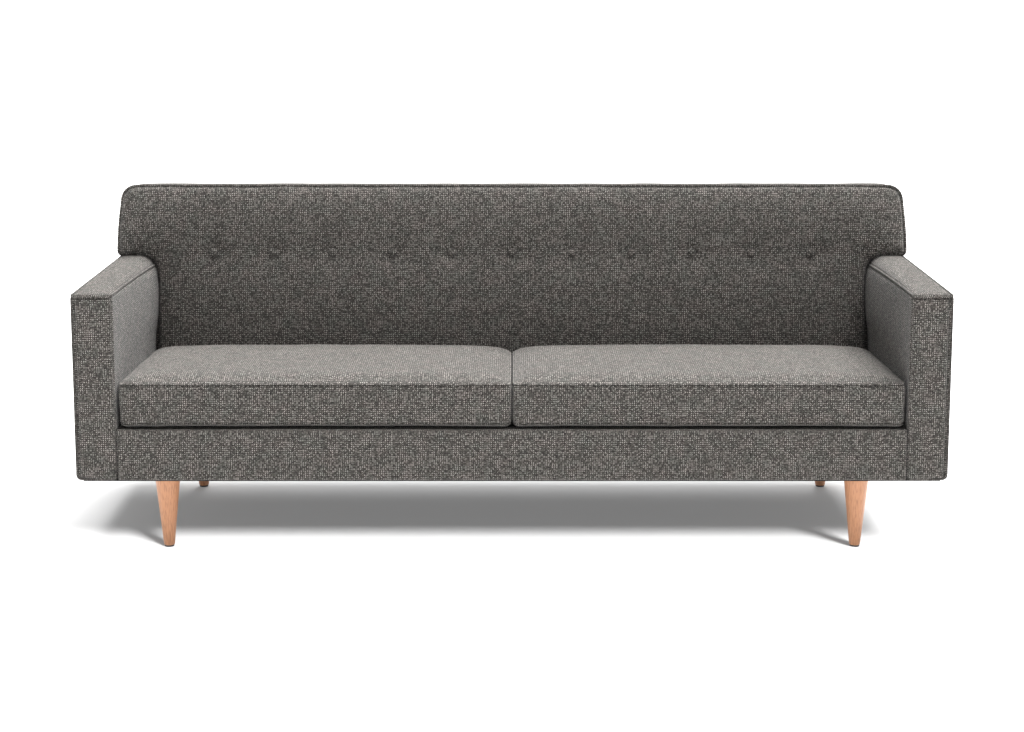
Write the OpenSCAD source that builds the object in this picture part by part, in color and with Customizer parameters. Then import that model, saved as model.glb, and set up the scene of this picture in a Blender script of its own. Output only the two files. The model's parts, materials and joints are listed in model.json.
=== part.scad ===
// Three-seat sofa with a T-shaped buttoned back, slim square arms, two loose
// seat cushions and four turned wooden legs. Every piece is a separate solid.
// X runs across the sofa, Y from front to rear, Z up. The origin is on the
// floor, under the middle of the sofa.

/* [Overall] */
// Width across the ears of the back
overall_width = 2160; // [1500:5:2600]
// Depth from the front of the arms to the top rear edge of the back
overall_depth = 815; // [670:5:1000]
// Height of the top edge of the back
overall_height = 850; // [770:5:1020]
// Height of the top of the arms
arm_height = 655; // [540:5:720]
// Height of the underside of the upholstered base, and length of a leg with its glide
base_height = 188; // [120:2:240]

/* [Arms] */
// Thickness of each arm across the sofa
arm_thickness = 100; // [80:2:180]
// How far each ear of the back stands out past the arm beside it
ear_proud = 7.5; // [0:0.5:20]
// Radius of the lower outer corner of each arm
arm_corner_r = 15; // [8:1:30]
// Foam on the sides of the arm frame
arm_side_pad = 18; // [10:1:25]
// Foam on the top and the front of the arm frame
arm_top_pad = 22; // [10:1:30]

/* [Back] */
// Lean of the back from upright, in degrees
back_rake = 12; // [6:0.5:18]
// Thickness of the back, square to its face
back_thickness = 168; // [140:2:210]
// Radius of the two top corners of the back
back_corner_r = 45; // [20:1:80]
// Foam on the face of the back
back_foam = 72; // [40:2:90]
// Foam round the edges of the back frame
back_edge_pad = 16; // [10:1:25]
// Gap between an ear and the arm under it
ear_gap = 1; // [0.5:0.5:4]

/* [Buttons] */
// Number of buttons in the row
button_count = 11; // [3:2:11]
// Distance from one button to the next where the arms are 1945 apart; it follows their distance
button_pitch = 163; // [80:1:170]
// Height of the row above the floor
button_height = 662; // [560:1:740]
// Diameter of a covered button
button_d = 25; // [16:1:36]
// Thickness of a covered button at its middle
button_dome = 7; // [4:0.5:12]
// Diameter of the tufting twine
twine_d = 2; // [1:0.5:3]

/* [Seat] */
// Height of the seat cushions' front bottom edge above the tops of the frame rails
seat_rise = 37; // [32:1:80]
// Fall of the seat from front to rear, in degrees
seat_pitch = 1.5; // [0:0.5:4]
// Thickness of a seat cushion at its seams
cushion_height = 112; // [90:2:150]
// Rise of the crown in the middle of a cushion's top
cushion_crown = 10; // [0:1:25]
// Gap at each side of a cushion
cushion_side_gap = 3; // [1:0.5:8]
// Gap behind a cushion, where the zip pull hangs
cushion_rear_gap = 12; // [9:1:25]
// Setback of the cushion fronts from the fronts of the arms
cushion_setback = 2; // [0:1:30]
// Gap between a cushion and the deck
cushion_rest_gap = 1; // [0.5:0.5:3]
// Fibre wrap round a cushion's foam core
wrap_t = 14; // [8:1:25]

/* [Zips] */
// Length of the zip in the rear of a cushion cover
zip_length = 760; // [400:10:800]
// Width of the zip tape
zip_tape_w = 26; // [18:1:34]

/* [Fabric] */
// Thickness of the upholstery cloth
fabric_t = 1.5; // [1:0.25:2.5]
// Diameter of the piping
welt_d = 6; // [4:0.5:9]

/* [Frame] */
// Thickness of the frame rails
rail_t = 28; // [20:1:35]
// Height of the side, centre and rear rails
rail_h = 95; // [70:1:100]
// Thickness of the plywood posts
post_t = 24; // [18:1:30]
// Height of the three rails in the back
back_rail_h = 45; // [35:1:55]
// Thickness of the three rails in the back
back_rail_t = 25; // [18:1:30]
// Number of sinuous springs under the seat
spring_count = 14; // [6:1:16]
// Number of webbing straps in the back
strap_count = 10; // [4:2:10]
// Thickness of the felt pad on the springs
deck_pad_t = 12; // [6:1:20]
// Thickness of the board that closes the back
panel_t = 3; // [2:0.5:5]

/* [Legs] */
// Diameter of a leg at the top
leg_top_d = 64; // [50:1:80]
// Diameter of a leg at the foot
leg_foot_d = 28; // [22:1:45]
// Distance from an arm's outer side to the middle of a leg
leg_side_inset = 210; // [170:1:320]
// Distance from the front of the arms to the middle of a front leg
leg_front_inset = 78; // [74:1:140]
// Distance from the rear of the arms to the middle of a rear leg
leg_rear_inset = 135; // [90:1:180]
// Thickness of the blocks that the legs screw into
block_h = 38; // [28:1:50]
// Diameter of the hanger bolts
bolt_d = 8; // [6:1:10]
// Thickness of a glide under a leg
glide_t = 4; // [2:0.5:6]

/* [Hidden] */
$fn = 48;
arc_steps = 6;
tube_sides = 8;
fit_gap = 0.05;        // clearance round a bolt, pin or twine
rebate_gap = 0.3;      // clearance of the piping in its rebate
rebate = welt_d + rebate_gap;
through = 1;           // how far a cut runs past the face that it opens

front_y = -overall_depth / 2;
rear_y = overall_depth / 2;
arm_out = overall_width / 2 - ear_proud;
arm_in = arm_out - arm_thickness;
button_spacing = button_pitch * 2 * arm_in / 1945;
frame_top = base_height + rail_h;         // top of the side, centre and rear rails
seat_base = frame_top + seat_rise;        // bottom of the seat cushions at the front edge

// The back leans, so its face and its rear are found at the height of the arms
back_face_y = rear_y - back_thickness * cos(back_rake) - (overall_height - arm_height) * tan(back_rake);
arm_rear_y = back_face_y + back_thickness / cos(back_rake);
back_top = (overall_height - arm_height) / cos(back_rake);
back_frame_d = fabric_t + back_foam;      // depth from the face to the webbing
strap_t = 2;
strap_w = 50;
back_rail_d = back_frame_d + strap_t;     // depth from the face to the rails
post_d = back_rail_d + back_rail_t;       // depth from the face to the posts
stem_gap = 1;                             // gap between the back and each arm
stem_half = arm_in - stem_gap;
stem_bottom = seat_base + 2;
// The middle rail clears the pad under the ears
mid_rail_z = (ear_gap + fabric_t + back_edge_pad + post_d * sin(back_rake)) / cos(back_rake);

front_pad = 14;                           // foam in front of the front rail
front_rail_y = front_y + front_pad;
side_rail_x = arm_in - rail_t;
rear_rail_y = arm_rear_y - panel_t - rail_t;

// The deck and all that lies on or under it share the fall of the seat
deck_cloth_z = -cushion_rest_gap - fabric_t;
deck_pad_z = deck_cloth_z - deck_pad_t;
spring_wire = 4;
spring_z = deck_pad_z - spring_wire;
cushion_front_y = front_y + cushion_setback;
deck_front = front_rail_y + rail_t - cushion_front_y;   // start of the deck, from the cushion front
cushion_face_y = face_y_at(seat_base - 10);
cushion_depth = cushion_face_y - cushion_rear_gap - cushion_front_y;
cushion_width = arm_in - 1.5 * cushion_side_gap;
deck_seam = 0.5;                                        // between the panel's lip and the deck cloth
deck_rear = cushion_depth + cushion_rear_gap + 30;
spring_rail_at = deck_rear + 6;                         // from the cushion front

leg_x = arm_out - leg_side_inset;
leg_ys = [front_y + leg_front_inset, arm_rear_y - leg_rear_inset];
block_margin = 48;                                      // wood past the middle of a leg
dust_t = 1;
leg_top_z = base_height - dust_t;
bolt_in_leg = 38;
bolt_in_block = 30;
tee_barrel_d = bolt_d + 3;
tee_barrel_h = 14;
tee_flange_d = 24;
tee_flange_t = 1.6;
glide_pin_d = 4;
glide_pin_h = 14;
arm_bolt_d = 8;
arm_bolt_ys = [front_y + 190, (front_y + arm_rear_y) / 2, arm_rear_y - 100];
arm_bolt_z = base_height + 55;
arm_bolt_l = rail_t + arm_side_pad + 34;
arm_bolt_head = 5;

slider_l = 14;
slider_w = 9;
slider_t = 3.5;
tape_t = 0.8;
zip_gap = 0.3;

cloth = "#55544f";
foam_colour = "#e6dfc6";
frame_wood = "#c9a878";
leg_wood = "#d99662";
steel = "#a9adb0";
felt = "#d8d3c6";
black = "#2a2a2a";

// ---------- helpers ----------

// Y of the back's face at a height above the floor
function face_y_at(z) = back_face_y + (z - arm_height) * tan(back_rake);

// Points along an arc
function arc(x, y, r, from, to) =
    [for (i = [0:arc_steps]) let (a = from + (to - from) * i / arc_steps) [x + r * cos(a), y + r * sin(a)]];

function unit(v) = v / norm(v);

// The sideways vector at point i of a flat path, long enough to keep a mitred strip's width
function mitre(path, i, closed) =
    let (n = len(path),
         before = (i > 0 || closed) ? unit(path[i] - path[(i + n - 1) % n]) : unit(path[1] - path[0]),
         after = (i < n - 1 || closed) ? unit(path[(i + 1) % n] - path[i]) : before,
         mid = unit(before + after),
         stretch = 1 / max(0.5, mid * before))
    [mid.y, -mid.x] * stretch;

// Box given by its two corners
module box(low, high) {
    translate(low)
        cube(high - low);
}

// Round bar along X, Y or Z
module bar_x(d, l) { rotate([0, 90, 0]) cylinder(d = d, h = l); }
module bar_y(d, l) { rotate([-90, 0, 0]) cylinder(d = d, h = l); }

// A tube of piping along a flat path in the XY plane
module piping_tube(path, closed = false) {
    n = len(path);
    ring = [for (k = [0:tube_sides - 1]) 360 * (k + 0.5) / tube_sides];
    points = [for (i = [0:n - 1]) let (side = mitre(path, i, closed)) for (a = ring)
        [path[i].x + side.x * cos(a) * welt_d / 2, path[i].y + side.y * cos(a) * welt_d / 2,
         sin(a) * welt_d / 2]];
    sides = [for (i = [0:n - (closed ? 1 : 2)]) for (k = [0:tube_sides - 1])
        let (next = (i + 1) % n, m = (k + 1) % tube_sides)
        [i * tube_sides + k, i * tube_sides + m, next * tube_sides + m, next * tube_sides + k]];
    ends = closed ? [] : [[for (k = [tube_sides - 1:-1:0]) k],
                          [for (k = [0:tube_sides - 1]) (n - 1) * tube_sides + k]];
    polyhedron(points = points, faces = concat(sides, ends), convexity = 6);
}

// Both sides of the sofa from the right-hand one
module on_side(side) {
    if (side < 0) mirror([1, 0, 0]) children();
    else children();
}

// The back's own frame: X across, Y into the back from its face, Z up along it
module in_back() {
    translate([0, back_face_y, arm_height])
        rotate([-back_rake, 0, 0])
            children();
}

// The seat's own frame: Y from the cushion front, Z from the bottom of the cushions
module in_seat() {
    translate([0, cushion_front_y, seat_base])
        rotate([-seat_pitch, 0, 0])
            children();
}

// ---------- seat frame ----------

// Everything above the plane that the springs lie on
module above_springs() {
    in_seat()
        box([-overall_width, -overall_depth, spring_z], [overall_width, 2 * overall_depth, overall_height]);
}

module front_rail() {
    color(frame_wood)
        difference() {
            box([-arm_in, front_rail_y, base_height], [arm_in, front_rail_y + rail_t, seat_base]);
            above_springs();
        }
}

module rear_rail() {
    color(frame_wood)
        box([-arm_in, rear_rail_y, base_height], [arm_in, rear_rail_y + rail_t, frame_top]);
}

module side_rail(side) {
    color(frame_wood)
        on_side(side)
            difference() {
                box([side_rail_x, front_rail_y + rail_t, base_height], [arm_in, rear_rail_y, frame_top]);
                for (y = arm_bolt_ys)
                    translate([side_rail_x - through, y, arm_bolt_z])
                        bar_x(arm_bolt_d + 2 * fit_gap, rail_t + 2 * through);
            }
}

module left_side_rail() { side_rail(-1); }
module right_side_rail() { side_rail(1); }

module centre_rail() {
    color(frame_wood)
        difference() {
            box([-rail_t / 2, front_rail_y + rail_t, base_height], [rail_t / 2, rear_rail_y, frame_top]);
            spring_rail_slot();
        }
}

// The spring rail and the centre rail are halved into each other where they cross
module spring_rail_slot() {
    translate([0, cushion_front_y + spring_rail_at, 0])
        box([-rail_t, 0, frame_top - rail_h / 2], [rail_t, rail_t, seat_base]);
}

// The rail under the rear ends of the springs passes over the leg blocks
module spring_rail() {
    color(frame_wood)
        difference() {
            translate([0, cushion_front_y + spring_rail_at, 0])
                box([-side_rail_x, 0, base_height + block_h + 2], [side_rail_x, rail_t, seat_base]);
            above_springs();
            translate([0, cushion_front_y + spring_rail_at, 0])
                box([-rail_t / 2, -through, 0], [rail_t / 2, rail_t + through, frame_top - rail_h / 2]);
        }
}

// A block in a corner of the seat frame, with the bore for the tee nut's barrel
module leg_block(y, from_y, to_y) {
    difference() {
        box([leg_x - block_margin, from_y, base_height], [side_rail_x, to_y, base_height + block_h]);
        translate([leg_x, y, base_height - through])
            cylinder(d = tee_barrel_d + 2 * fit_gap, h = block_h + 2 * through);
    }
}

module leg_blocks() {
    color(frame_wood)
        for (side = [-1, 1])
            on_side(side) {
                leg_block(leg_ys[0], front_rail_y + rail_t, leg_ys[0] + block_margin);
                leg_block(leg_ys[1], leg_ys[1] - block_margin, rear_rail_y);
            }
}

// ---------- springs and deck ----------

spring_bend = 26;      // from one bend of a spring to the next
spring_half_w = 24;
spring_start = deck_front - rail_t / 2;
spring_end = spring_rail_at + rail_t / 2;
spring_bends = 2 * floor((spring_end - spring_start) / spring_bend / 2);
spring_step = (spring_end - spring_start) / spring_bends;
spring_gap = 2 * (arm_in - 75) / (spring_count - 1);

// Centre line of one spring: runs across the seat joined by round bends
function spring_path() =
    let (r = spring_step / 2, straight = spring_half_w - r)
    concat([[-straight / 2, spring_start]],
           [for (i = [0:spring_bends - 1])
               let (dir = i % 2 == 0 ? 1 : -1, y = spring_start + spring_step * (i + 0.5))
               for (a = [-90:45:90])
                   [dir * (straight + r * cos(a)), y + r * sin(a)]],
           [[straight / 2, spring_end]]);

module seat_spring() {
    path = spring_path();
    half = spring_wire / 2;
    left = [for (i = [0:len(path) - 1]) path[i] + mitre(path, i, false) * half];
    right = [for (i = [len(path) - 1:-1:0]) path[i] - mitre(path, i, false) * half];
    linear_extrude(spring_wire)
        polygon(concat(left, right));
}

module at_springs() {
    in_seat()
        for (i = [0:spring_count - 1])
            translate([(i - (spring_count - 1) / 2) * spring_gap, 0, spring_z])
                children();
}

module seat_springs() {
    color(steel)
        at_springs()
            seat_spring();
}

// A pressed clip that hooks over the end of a spring
module spring_clip() {
    clip_t = 1.5;
    clip_w = 12;
    clip_l = 16;
    difference() {
        box([-clip_w / 2, -clip_l / 2, 0],
            [clip_w / 2, clip_l / 2, spring_wire + clip_t]);
        box([-clip_w, -clip_l / 2 + 3, -through],
            [clip_w, clip_l / 2 - 3, spring_wire + fit_gap]);
    }
}

module spring_clips() {
    color(steel)
        at_springs()
            for (y = [spring_start, spring_end])
                translate([0, y, 0])
                    spring_clip();
}

module deck_sheet(low, high) {
    in_seat()
        box([-stem_half, deck_front + deck_seam, low], [stem_half, deck_rear, high]);
}

module deck_pad() {
    color(felt)
        deck_sheet(deck_pad_z, deck_cloth_z);
}

module deck_cloth() {
    color(cloth)
        deck_sheet(deck_cloth_z, deck_cloth_z + fabric_t);
}

// ---------- front panel and dust cover ----------

lip_top = seat_base - deck_front * tan(seat_pitch) - cushion_rest_gap;

module front_panel_pad() {
    color(foam_colour)
        box([-arm_in, front_y + fabric_t, base_height + fabric_t],
            [arm_in, front_rail_y, lip_top - fabric_t]);
}

module front_panel_cover() {
    color(cloth)
        difference() {
            box([-arm_in, front_y, base_height], [arm_in, front_rail_y + rail_t, lip_top]);
            box([-arm_in - through, front_y + fabric_t, base_height + fabric_t],
                [arm_in + through, front_rail_y + rail_t + through, lip_top - fabric_t]);
            box([-arm_in - through, front_rail_y, 0],
                [arm_in + through, front_rail_y + rail_t + through, lip_top - fabric_t]);
        }
}

module dust_cover() {
    edge = 4;
    color(black)
        difference() {
            box([-arm_out + arm_corner_r, front_y + edge, leg_top_z],
                [arm_out - arm_corner_r, arm_rear_y - edge, base_height]);
            at_legs()
                translate([0, 0, leg_top_z - through])
                    cylinder(d = tee_barrel_d + 2 * fit_gap, h = dust_t + 2 * through);
        }
}

// ---------- legs ----------

module at_leg(side, end) {
    translate([side * leg_x, leg_ys[end], 0])
        children();
}

module at_legs() {
    for (side = [-1, 1], end = [0, 1])
        at_leg(side, end)
            children();
}

module leg() {
    foot_edge = 1.5;
    foot_r = leg_foot_d / 2;
    color(leg_wood)
        difference() {
            rotate_extrude()
                polygon([[0, glide_t], [foot_r - foot_edge, glide_t], [foot_r, glide_t + foot_edge],
                         [leg_top_d / 2, leg_top_z - foot_edge], [leg_top_d / 2 - foot_edge, leg_top_z],
                         [0, leg_top_z]]);
            translate([0, 0, leg_top_z - bolt_in_leg])
                cylinder(d = bolt_d + 2 * fit_gap, h = bolt_in_leg + through);
            translate([0, 0, glide_t - through])
                cylinder(d = glide_pin_d + 2 * fit_gap, h = glide_pin_h + through);
        }
}

module front_left_leg() { at_leg(-1, 0) leg(); }
module front_right_leg() { at_leg(1, 0) leg(); }
module rear_left_leg() { at_leg(-1, 1) leg(); }
module rear_right_leg() { at_leg(1, 1) leg(); }

module hanger_bolts() {
    color(steel)
        at_legs()
            translate([0, 0, leg_top_z - bolt_in_leg])
                cylinder(d = bolt_d, h = bolt_in_leg + bolt_in_block);
}

// The nut is driven in from above, so its flange lies on the block
module tee_nuts() {
    color(steel)
        at_legs()
            translate([0, 0, base_height + block_h])
                difference() {
                    union() {
                        cylinder(d = tee_flange_d, h = tee_flange_t);
                        translate([0, 0, -tee_barrel_h])
                            cylinder(d = tee_barrel_d, h = tee_barrel_h);
                    }
                    translate([0, 0, -tee_barrel_h - through])
                        cylinder(d = bolt_d + 2 * fit_gap, h = tee_barrel_h + tee_flange_t + 2 * through);
                }
}

module leg_glides() {
    color(black)
        at_legs() {
            cylinder(d = leg_foot_d - 4, h = glide_t);
            cylinder(d = glide_pin_d, h = glide_t + glide_pin_h - through);
        }
}

// ---------- arms ----------

arm_frame_in = arm_in + arm_side_pad;
arm_frame_out = arm_out - arm_side_pad;
arm_frame_front = front_y + arm_top_pad;
arm_frame_rear = arm_rear_y - panel_t;
arm_frame_top = arm_height - arm_top_pad;
arm_post_w = 45;
arm_rail_h = 30;

// Outline of an arm seen from the front, drawn in from the cloth by inset, and on the three sides
// that the piping follows by edge as well; open runs past the bottom
function arm_outline(inset, edge, open) =
    let (r = max(1, arm_corner_r - inset - edge), low = base_height + inset + edge - open,
         out = arm_out - inset - edge, high = arm_height - inset - edge)
    concat([[arm_in + inset, low]],
           open > 0 ? [[out, low]] : arc(out - r, low + r, r, -90, 0),
           [[out, high], [arm_in + inset, high]]);

module arm_slice(inset, edge, open, from_y, to_y) {
    translate([0, to_y, 0])
        rotate([90, 0, 0])
            linear_extrude(to_y - from_y)
                polygon(arm_outline(inset, edge, open));
}

// The arm's shape with rebates for the piping at both top edges and round the front panel
module arm_shape(inset, open = 0) {
    difference() {
        union() {
            arm_slice(inset, 0, open, front_y + rebate + inset, arm_frame_rear + open);
            arm_slice(inset, rebate, 0, front_y + inset, front_y + rebate + 2 * inset);
        }
        for (x = [arm_in, arm_out])
            translate([x, 0, arm_height])
                box([-rebate - inset, front_y - through, -rebate - inset],
                    [rebate + inset, arm_rear_y + 2 * open + through, rebate]);
    }
}

module arm_bolt_holes(d) {
    for (y = arm_bolt_ys)
        translate([arm_in - through, y, arm_bolt_z])
            bar_x(d, arm_bolt_l - rail_t + 2 * through);
}

module arm_cover(side) {
    color(cloth)
        on_side(side)
            difference() {
                arm_shape(0);
                arm_shape(fabric_t, 30);
                arm_bolt_holes(arm_bolt_d + 2 * fit_gap);
            }
}

module arm_foam(side) {
    color(foam_colour)
        on_side(side)
            difference() {
                intersection() {
                    arm_shape(fabric_t, 30);
                    box([arm_in, front_y, base_height], [arm_out, arm_frame_rear, arm_height]);
                }
                box([arm_frame_in, arm_frame_front, base_height - through],
                    [arm_frame_out, arm_rear_y, arm_frame_top]);
                arm_bolt_holes(arm_bolt_d + 2 * fit_gap);
            }
}

module arm_front_post(side) {
    color(frame_wood)
        on_side(side)
            box([arm_frame_in, arm_frame_front, base_height],
                [arm_frame_out, arm_frame_front + arm_post_w, arm_frame_top - arm_rail_h]);
}

module arm_rear_post(side) {
    color(frame_wood)
        on_side(side)
            box([arm_frame_in, arm_frame_rear - arm_post_w, base_height],
                [arm_frame_out, arm_frame_rear, arm_frame_top - arm_rail_h]);
}

module arm_top_rail(side) {
    color(frame_wood)
        on_side(side)
            box([arm_frame_in, arm_frame_front, arm_frame_top - arm_rail_h],
                [arm_frame_out, arm_frame_rear, arm_frame_top]);
}

module arm_bottom_rail(side) {
    color(frame_wood)
        on_side(side)
            difference() {
                box([arm_frame_in, arm_frame_front + arm_post_w, base_height],
                    [arm_frame_out, arm_frame_rear - arm_post_w, base_height + rail_h]);
                arm_bolt_holes(arm_bolt_d + 2 * fit_gap);
            }
}

// Piping: two runs along the top edges and one round the front panel
module arm_piping(side) {
    centre = welt_d / 2;
    low = base_height + centre;
    r = arm_corner_r - centre;
    edge = concat([[arm_in + welt_d, arm_height - centre], [arm_out - centre, arm_height - centre]],
                  [for (p = arc(arm_out - centre - r, low + r, r, 0, -90)) p],
                  [[arm_in + centre, low]]);
    run_gap = 0.4;
    color(cloth)
        on_side(side) {
            translate([0, front_y + centre, 0])
                rotate([90, 0, 0])
                    piping_tube(edge);
            for (x = [arm_in + centre, arm_out - centre])
                translate([x, 0, arm_height - centre])
                    rotate([0, 0, 90])
                        piping_tube([[front_y + welt_d + run_gap, 0], [arm_frame_rear, 0]]);
        }
}

module left_arm_front_post() { arm_front_post(-1); }
module left_arm_rear_post() { arm_rear_post(-1); }
module left_arm_top_rail() { arm_top_rail(-1); }
module left_arm_bottom_rail() { arm_bottom_rail(-1); }
module left_arm_foam() { arm_foam(-1); }
module left_arm_cover() { arm_cover(-1); }
module left_arm_piping() { arm_piping(-1); }
module right_arm_front_post() { arm_front_post(1); }
module right_arm_rear_post() { arm_rear_post(1); }
module right_arm_top_rail() { arm_top_rail(1); }
module right_arm_bottom_rail() { arm_bottom_rail(1); }
module right_arm_foam() { arm_foam(1); }
module right_arm_cover() { arm_cover(1); }
module right_arm_piping() { arm_piping(1); }

// Bolts from inside the seat frame into the arm frames
module arm_bolts() {
    color(steel)
        for (side = [-1, 1], y = arm_bolt_ys)
            on_side(side)
                translate([side_rail_x, y, arm_bolt_z]) {
                    bar_x(arm_bolt_d, arm_bolt_l);
                    translate([-arm_bolt_head, 0, 0])
                        bar_x(2 * arm_bolt_d, arm_bolt_head);
                }
}

// ---------- back ----------

// A slab of the back between two depths, drawn in from its edges by inset and cut off at low
module back_slab(inset, from_d, to_d, low = stem_bottom) {
    r = max(1, back_corner_r - inset);
    half = overall_width / 2 - inset;
    top = back_top - inset;
    outline = concat([[-half, -overall_height], [half, -overall_height]],
                     arc(half - r, top - r, r, 0, 90), arc(-half + r, top - r, r, 90, 180));
    difference() {
        in_back()
            translate([0, to_d, 0])
                rotate([90, 0, 0])
                    linear_extrude(to_d - from_d)
                        polygon(outline);
        for (side = [-1, 1])
            on_side(side)
                box([stem_half - inset, front_y, -overall_height],
                    [overall_width, 2 * rear_y, arm_height + ear_gap + inset]);
        box([-overall_width, -overall_depth, -overall_height],
            [overall_width, 2 * rear_y, low + inset]);
    }
}

// The room for the frame behind the foam, open to the rear and below
module back_frame_room(inset) {
    back_slab(inset, back_frame_d, back_thickness + through, frame_top);
}

// The stuffed shape of the back, with the rebate for the piping round its face
module back_shape(inset, to_d) {
    back_slab(rebate + inset, inset, rebate + 2 * inset);
    back_slab(inset, rebate + inset, to_d);
}

module at_buttons() {
    in_back()
        for (i = [0:button_count - 1])
            translate([(i - (button_count - 1) / 2) * button_spacing, 0,
                       (button_height - arm_height) / cos(back_rake)])
                children();
}

module twine_holes() {
    at_buttons()
        translate([0, -through, 0])
            bar_y(twine_d + 2 * fit_gap, back_frame_d + 2 * through);
}

module back_cover() {
    color(cloth)
        difference() {
            back_shape(0, back_thickness - panel_t);
            back_shape(fabric_t, back_thickness + through);
            back_frame_room(fabric_t);
            twine_holes();
        }
}

module back_foam_pad() {
    color(foam_colour)
        difference() {
            back_shape(fabric_t, back_thickness - panel_t);
            back_frame_room(fabric_t + back_edge_pad);
            twine_holes();
        }
}

ear_frame_x = overall_width / 2 - fabric_t - back_edge_pad;   // end of the back frame
stem_frame_x = stem_half - fabric_t - back_edge_pad;
back_frame_top = back_top - fabric_t - back_edge_pad;
back_frame_low = (stem_bottom + fabric_t + back_edge_pad - arm_height) / cos(back_rake) + 36;

// A rail across the back, set between the webbing and the posts
module back_rail(half, z) {
    color(frame_wood)
        in_back()
            box([-half, back_rail_d, z], [half, back_rail_d + back_rail_t, z + back_rail_h]);
}

module back_top_rail() {
    round_end = back_corner_r;
    back_rail(ear_frame_x - round_end, back_frame_top - back_rail_h);
}

module back_middle_rail() { back_rail(ear_frame_x, mid_rail_z); }
module back_bottom_rail() { back_rail(stem_frame_x, back_frame_low); }

// Plywood posts cut to the side view: upright behind, leaning in front
module back_posts() {
    low = frame_top;
    top_z = overall_height - 60;
    rear = arm_rear_y - panel_t / cos(back_rake);
    front_low = face_y_at(low) + post_d / cos(back_rake);
    front_top = face_y_at(top_z) + post_d / cos(back_rake);
    profile = [[front_low, low], [rear, low], [rear, arm_height],
               [rear + (top_z - arm_height) * tan(back_rake), top_z], [front_top, top_z]];
    color(frame_wood)
        for (x = [-stem_frame_x, -post_t / 2, stem_frame_x - post_t])
            translate([x, 0, 0])
                rotate([90, 0, 90])
                    linear_extrude(post_t)
                        polygon(profile);
}

// A block that ties the top and middle rails together inside an ear
module ear_block(side) {
    color(frame_wood)
        on_side(side)
            in_back()
                box([stem_frame_x + 20, back_rail_d, mid_rail_z + back_rail_h],
                    [ear_frame_x - back_corner_r, back_rail_d + back_rail_t, back_frame_top - back_rail_h]);
}

module left_ear_block() { ear_block(-1); }
module right_ear_block() { ear_block(1); }

// Elastic straps, set half a pitch from the buttons so that the twine runs between them
module back_webbing() {
    color(black)
        in_back()
            for (i = [0:strap_count - 1])
                translate([(i - (strap_count - 1) / 2) * button_spacing, 0, 0])
                    box([-strap_w / 2, back_frame_d, back_frame_low],
                        [strap_w / 2, back_rail_d, back_frame_top]);
}

// Piping round the face of the back, open along the hidden bottom edge
module back_piping() {
    centre = welt_d / 2;
    half = overall_width / 2 - centre;
    stem = stem_half - centre;
    r = back_corner_r - centre;
    top = back_top - centre;
    under_ear = (ear_gap + centre + rebate_gap) / cos(back_rake);
    low = (stem_bottom - arm_height) / cos(back_rake) + rebate;
    right = concat([[stem, low], [stem, under_ear], [half, under_ear]], arc(half - r, top - r, r, 0, 90));
    left = [for (i = [len(right) - 1:-1:0]) [-right[i].x, right[i].y]];
    color(cloth)
        in_back()
            translate([0, centre, 0])
                rotate([90, 0, 0])
                    piping_tube(concat(right, left));
}

// Board and cloth that close the back: upright between the arms' rear ends, leaning above them
module outside_back() {
    color(cloth) {
        back_slab(0, back_thickness - panel_t, back_thickness, arm_height);
        box([-arm_out, arm_frame_rear, base_height], [arm_out, arm_rear_y, arm_height]);
    }
}

module back_buttons() {
    r = button_d / 2;
    color(cloth)
        at_buttons()
            rotate([90, 0, 0])
                rotate_extrude()
                    polygon([[0, 0], [r - 1.5, 0], [r, 2], [r * 0.8, button_dome * 0.75],
                             [r * 0.45, button_dome * 0.95], [0, button_dome]]);
}

module button_twine() {
    color(felt)
        at_buttons()
            bar_y(twine_d, back_frame_d);
}

// ---------- seat cushions ----------

// Side view of a cushion, drawn in by inset, with its crowned top
function cushion_profile(inset) =
    let (low = inset, top = cushion_height - inset, d0 = inset, d1 = cushion_depth - inset)
    concat([[d0, low], [d1, low]],
           [for (i = [10:-1:0]) let (t = i / 10)
               [d0 + (d1 - d0) * t, top + 4 * cushion_crown * t * (1 - t)]]);

// One cushion's stuffed shape in its resting place; side is -1 for the left one
module cushion_shape(side, inset) {
    low_x = cushion_side_gap / 2 + inset;
    on_side(side)
        in_seat()
            translate([low_x, 0, 0])
                rotate([90, 0, 90])
                    linear_extrude(cushion_width - 2 * inset)
                        polygon(cushion_profile(inset));
}

module cushion_core(side) {
    color(foam_colour)
        cushion_shape(side, fabric_t + wrap_t);
}

module cushion_wrap(side) {
    color("white")
        difference() {
            cushion_shape(side, fabric_t);
            cushion_shape(side, fabric_t + wrap_t);
        }
}

module cushion_cover(side) {
    color(cloth)
        difference() {
            cushion_shape(side, 0);
            cushion_shape(side, fabric_t);
        }
}

// The zip lies along the middle of the cushion's rear face
module at_zip(side) {
    on_side(side)
        in_seat()
            translate([cushion_side_gap / 2 + cushion_width / 2, cushion_depth, cushion_height / 2])
                children();
}

module zip_tape(side) {
    color(black)
        at_zip(side)
            box([-zip_length / 2, 0, -zip_tape_w / 2], [zip_length / 2, tape_t, zip_tape_w / 2]);
}

// The slider starts at the closed end, next to the middle of the sofa, and has a hanging pull
module zip_slider(side) {
    color(steel)
        at_zip(side)
            translate([-zip_length / 2 + 4, tape_t + zip_gap, 0]) {
                box([0, 0, -slider_w / 2], [slider_l, slider_t, slider_w / 2]);
                box([slider_l / 2 - 3, slider_t - 1, -26], [slider_l / 2 + 3, slider_t, 0]);
            }
}

module left_cushion_core() { cushion_core(-1); }
module left_cushion_wrap() { cushion_wrap(-1); }
module left_cushion_cover() { cushion_cover(-1); }
module left_zip_tape() { zip_tape(-1); }
module left_zip_slider() { zip_slider(-1); }
module right_cushion_core() { cushion_core(1); }
module right_cushion_wrap() { cushion_wrap(1); }
module right_cushion_cover() { cushion_cover(1); }
module right_zip_tape() { zip_tape(1); }
module right_zip_slider() { zip_slider(1); }

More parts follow.
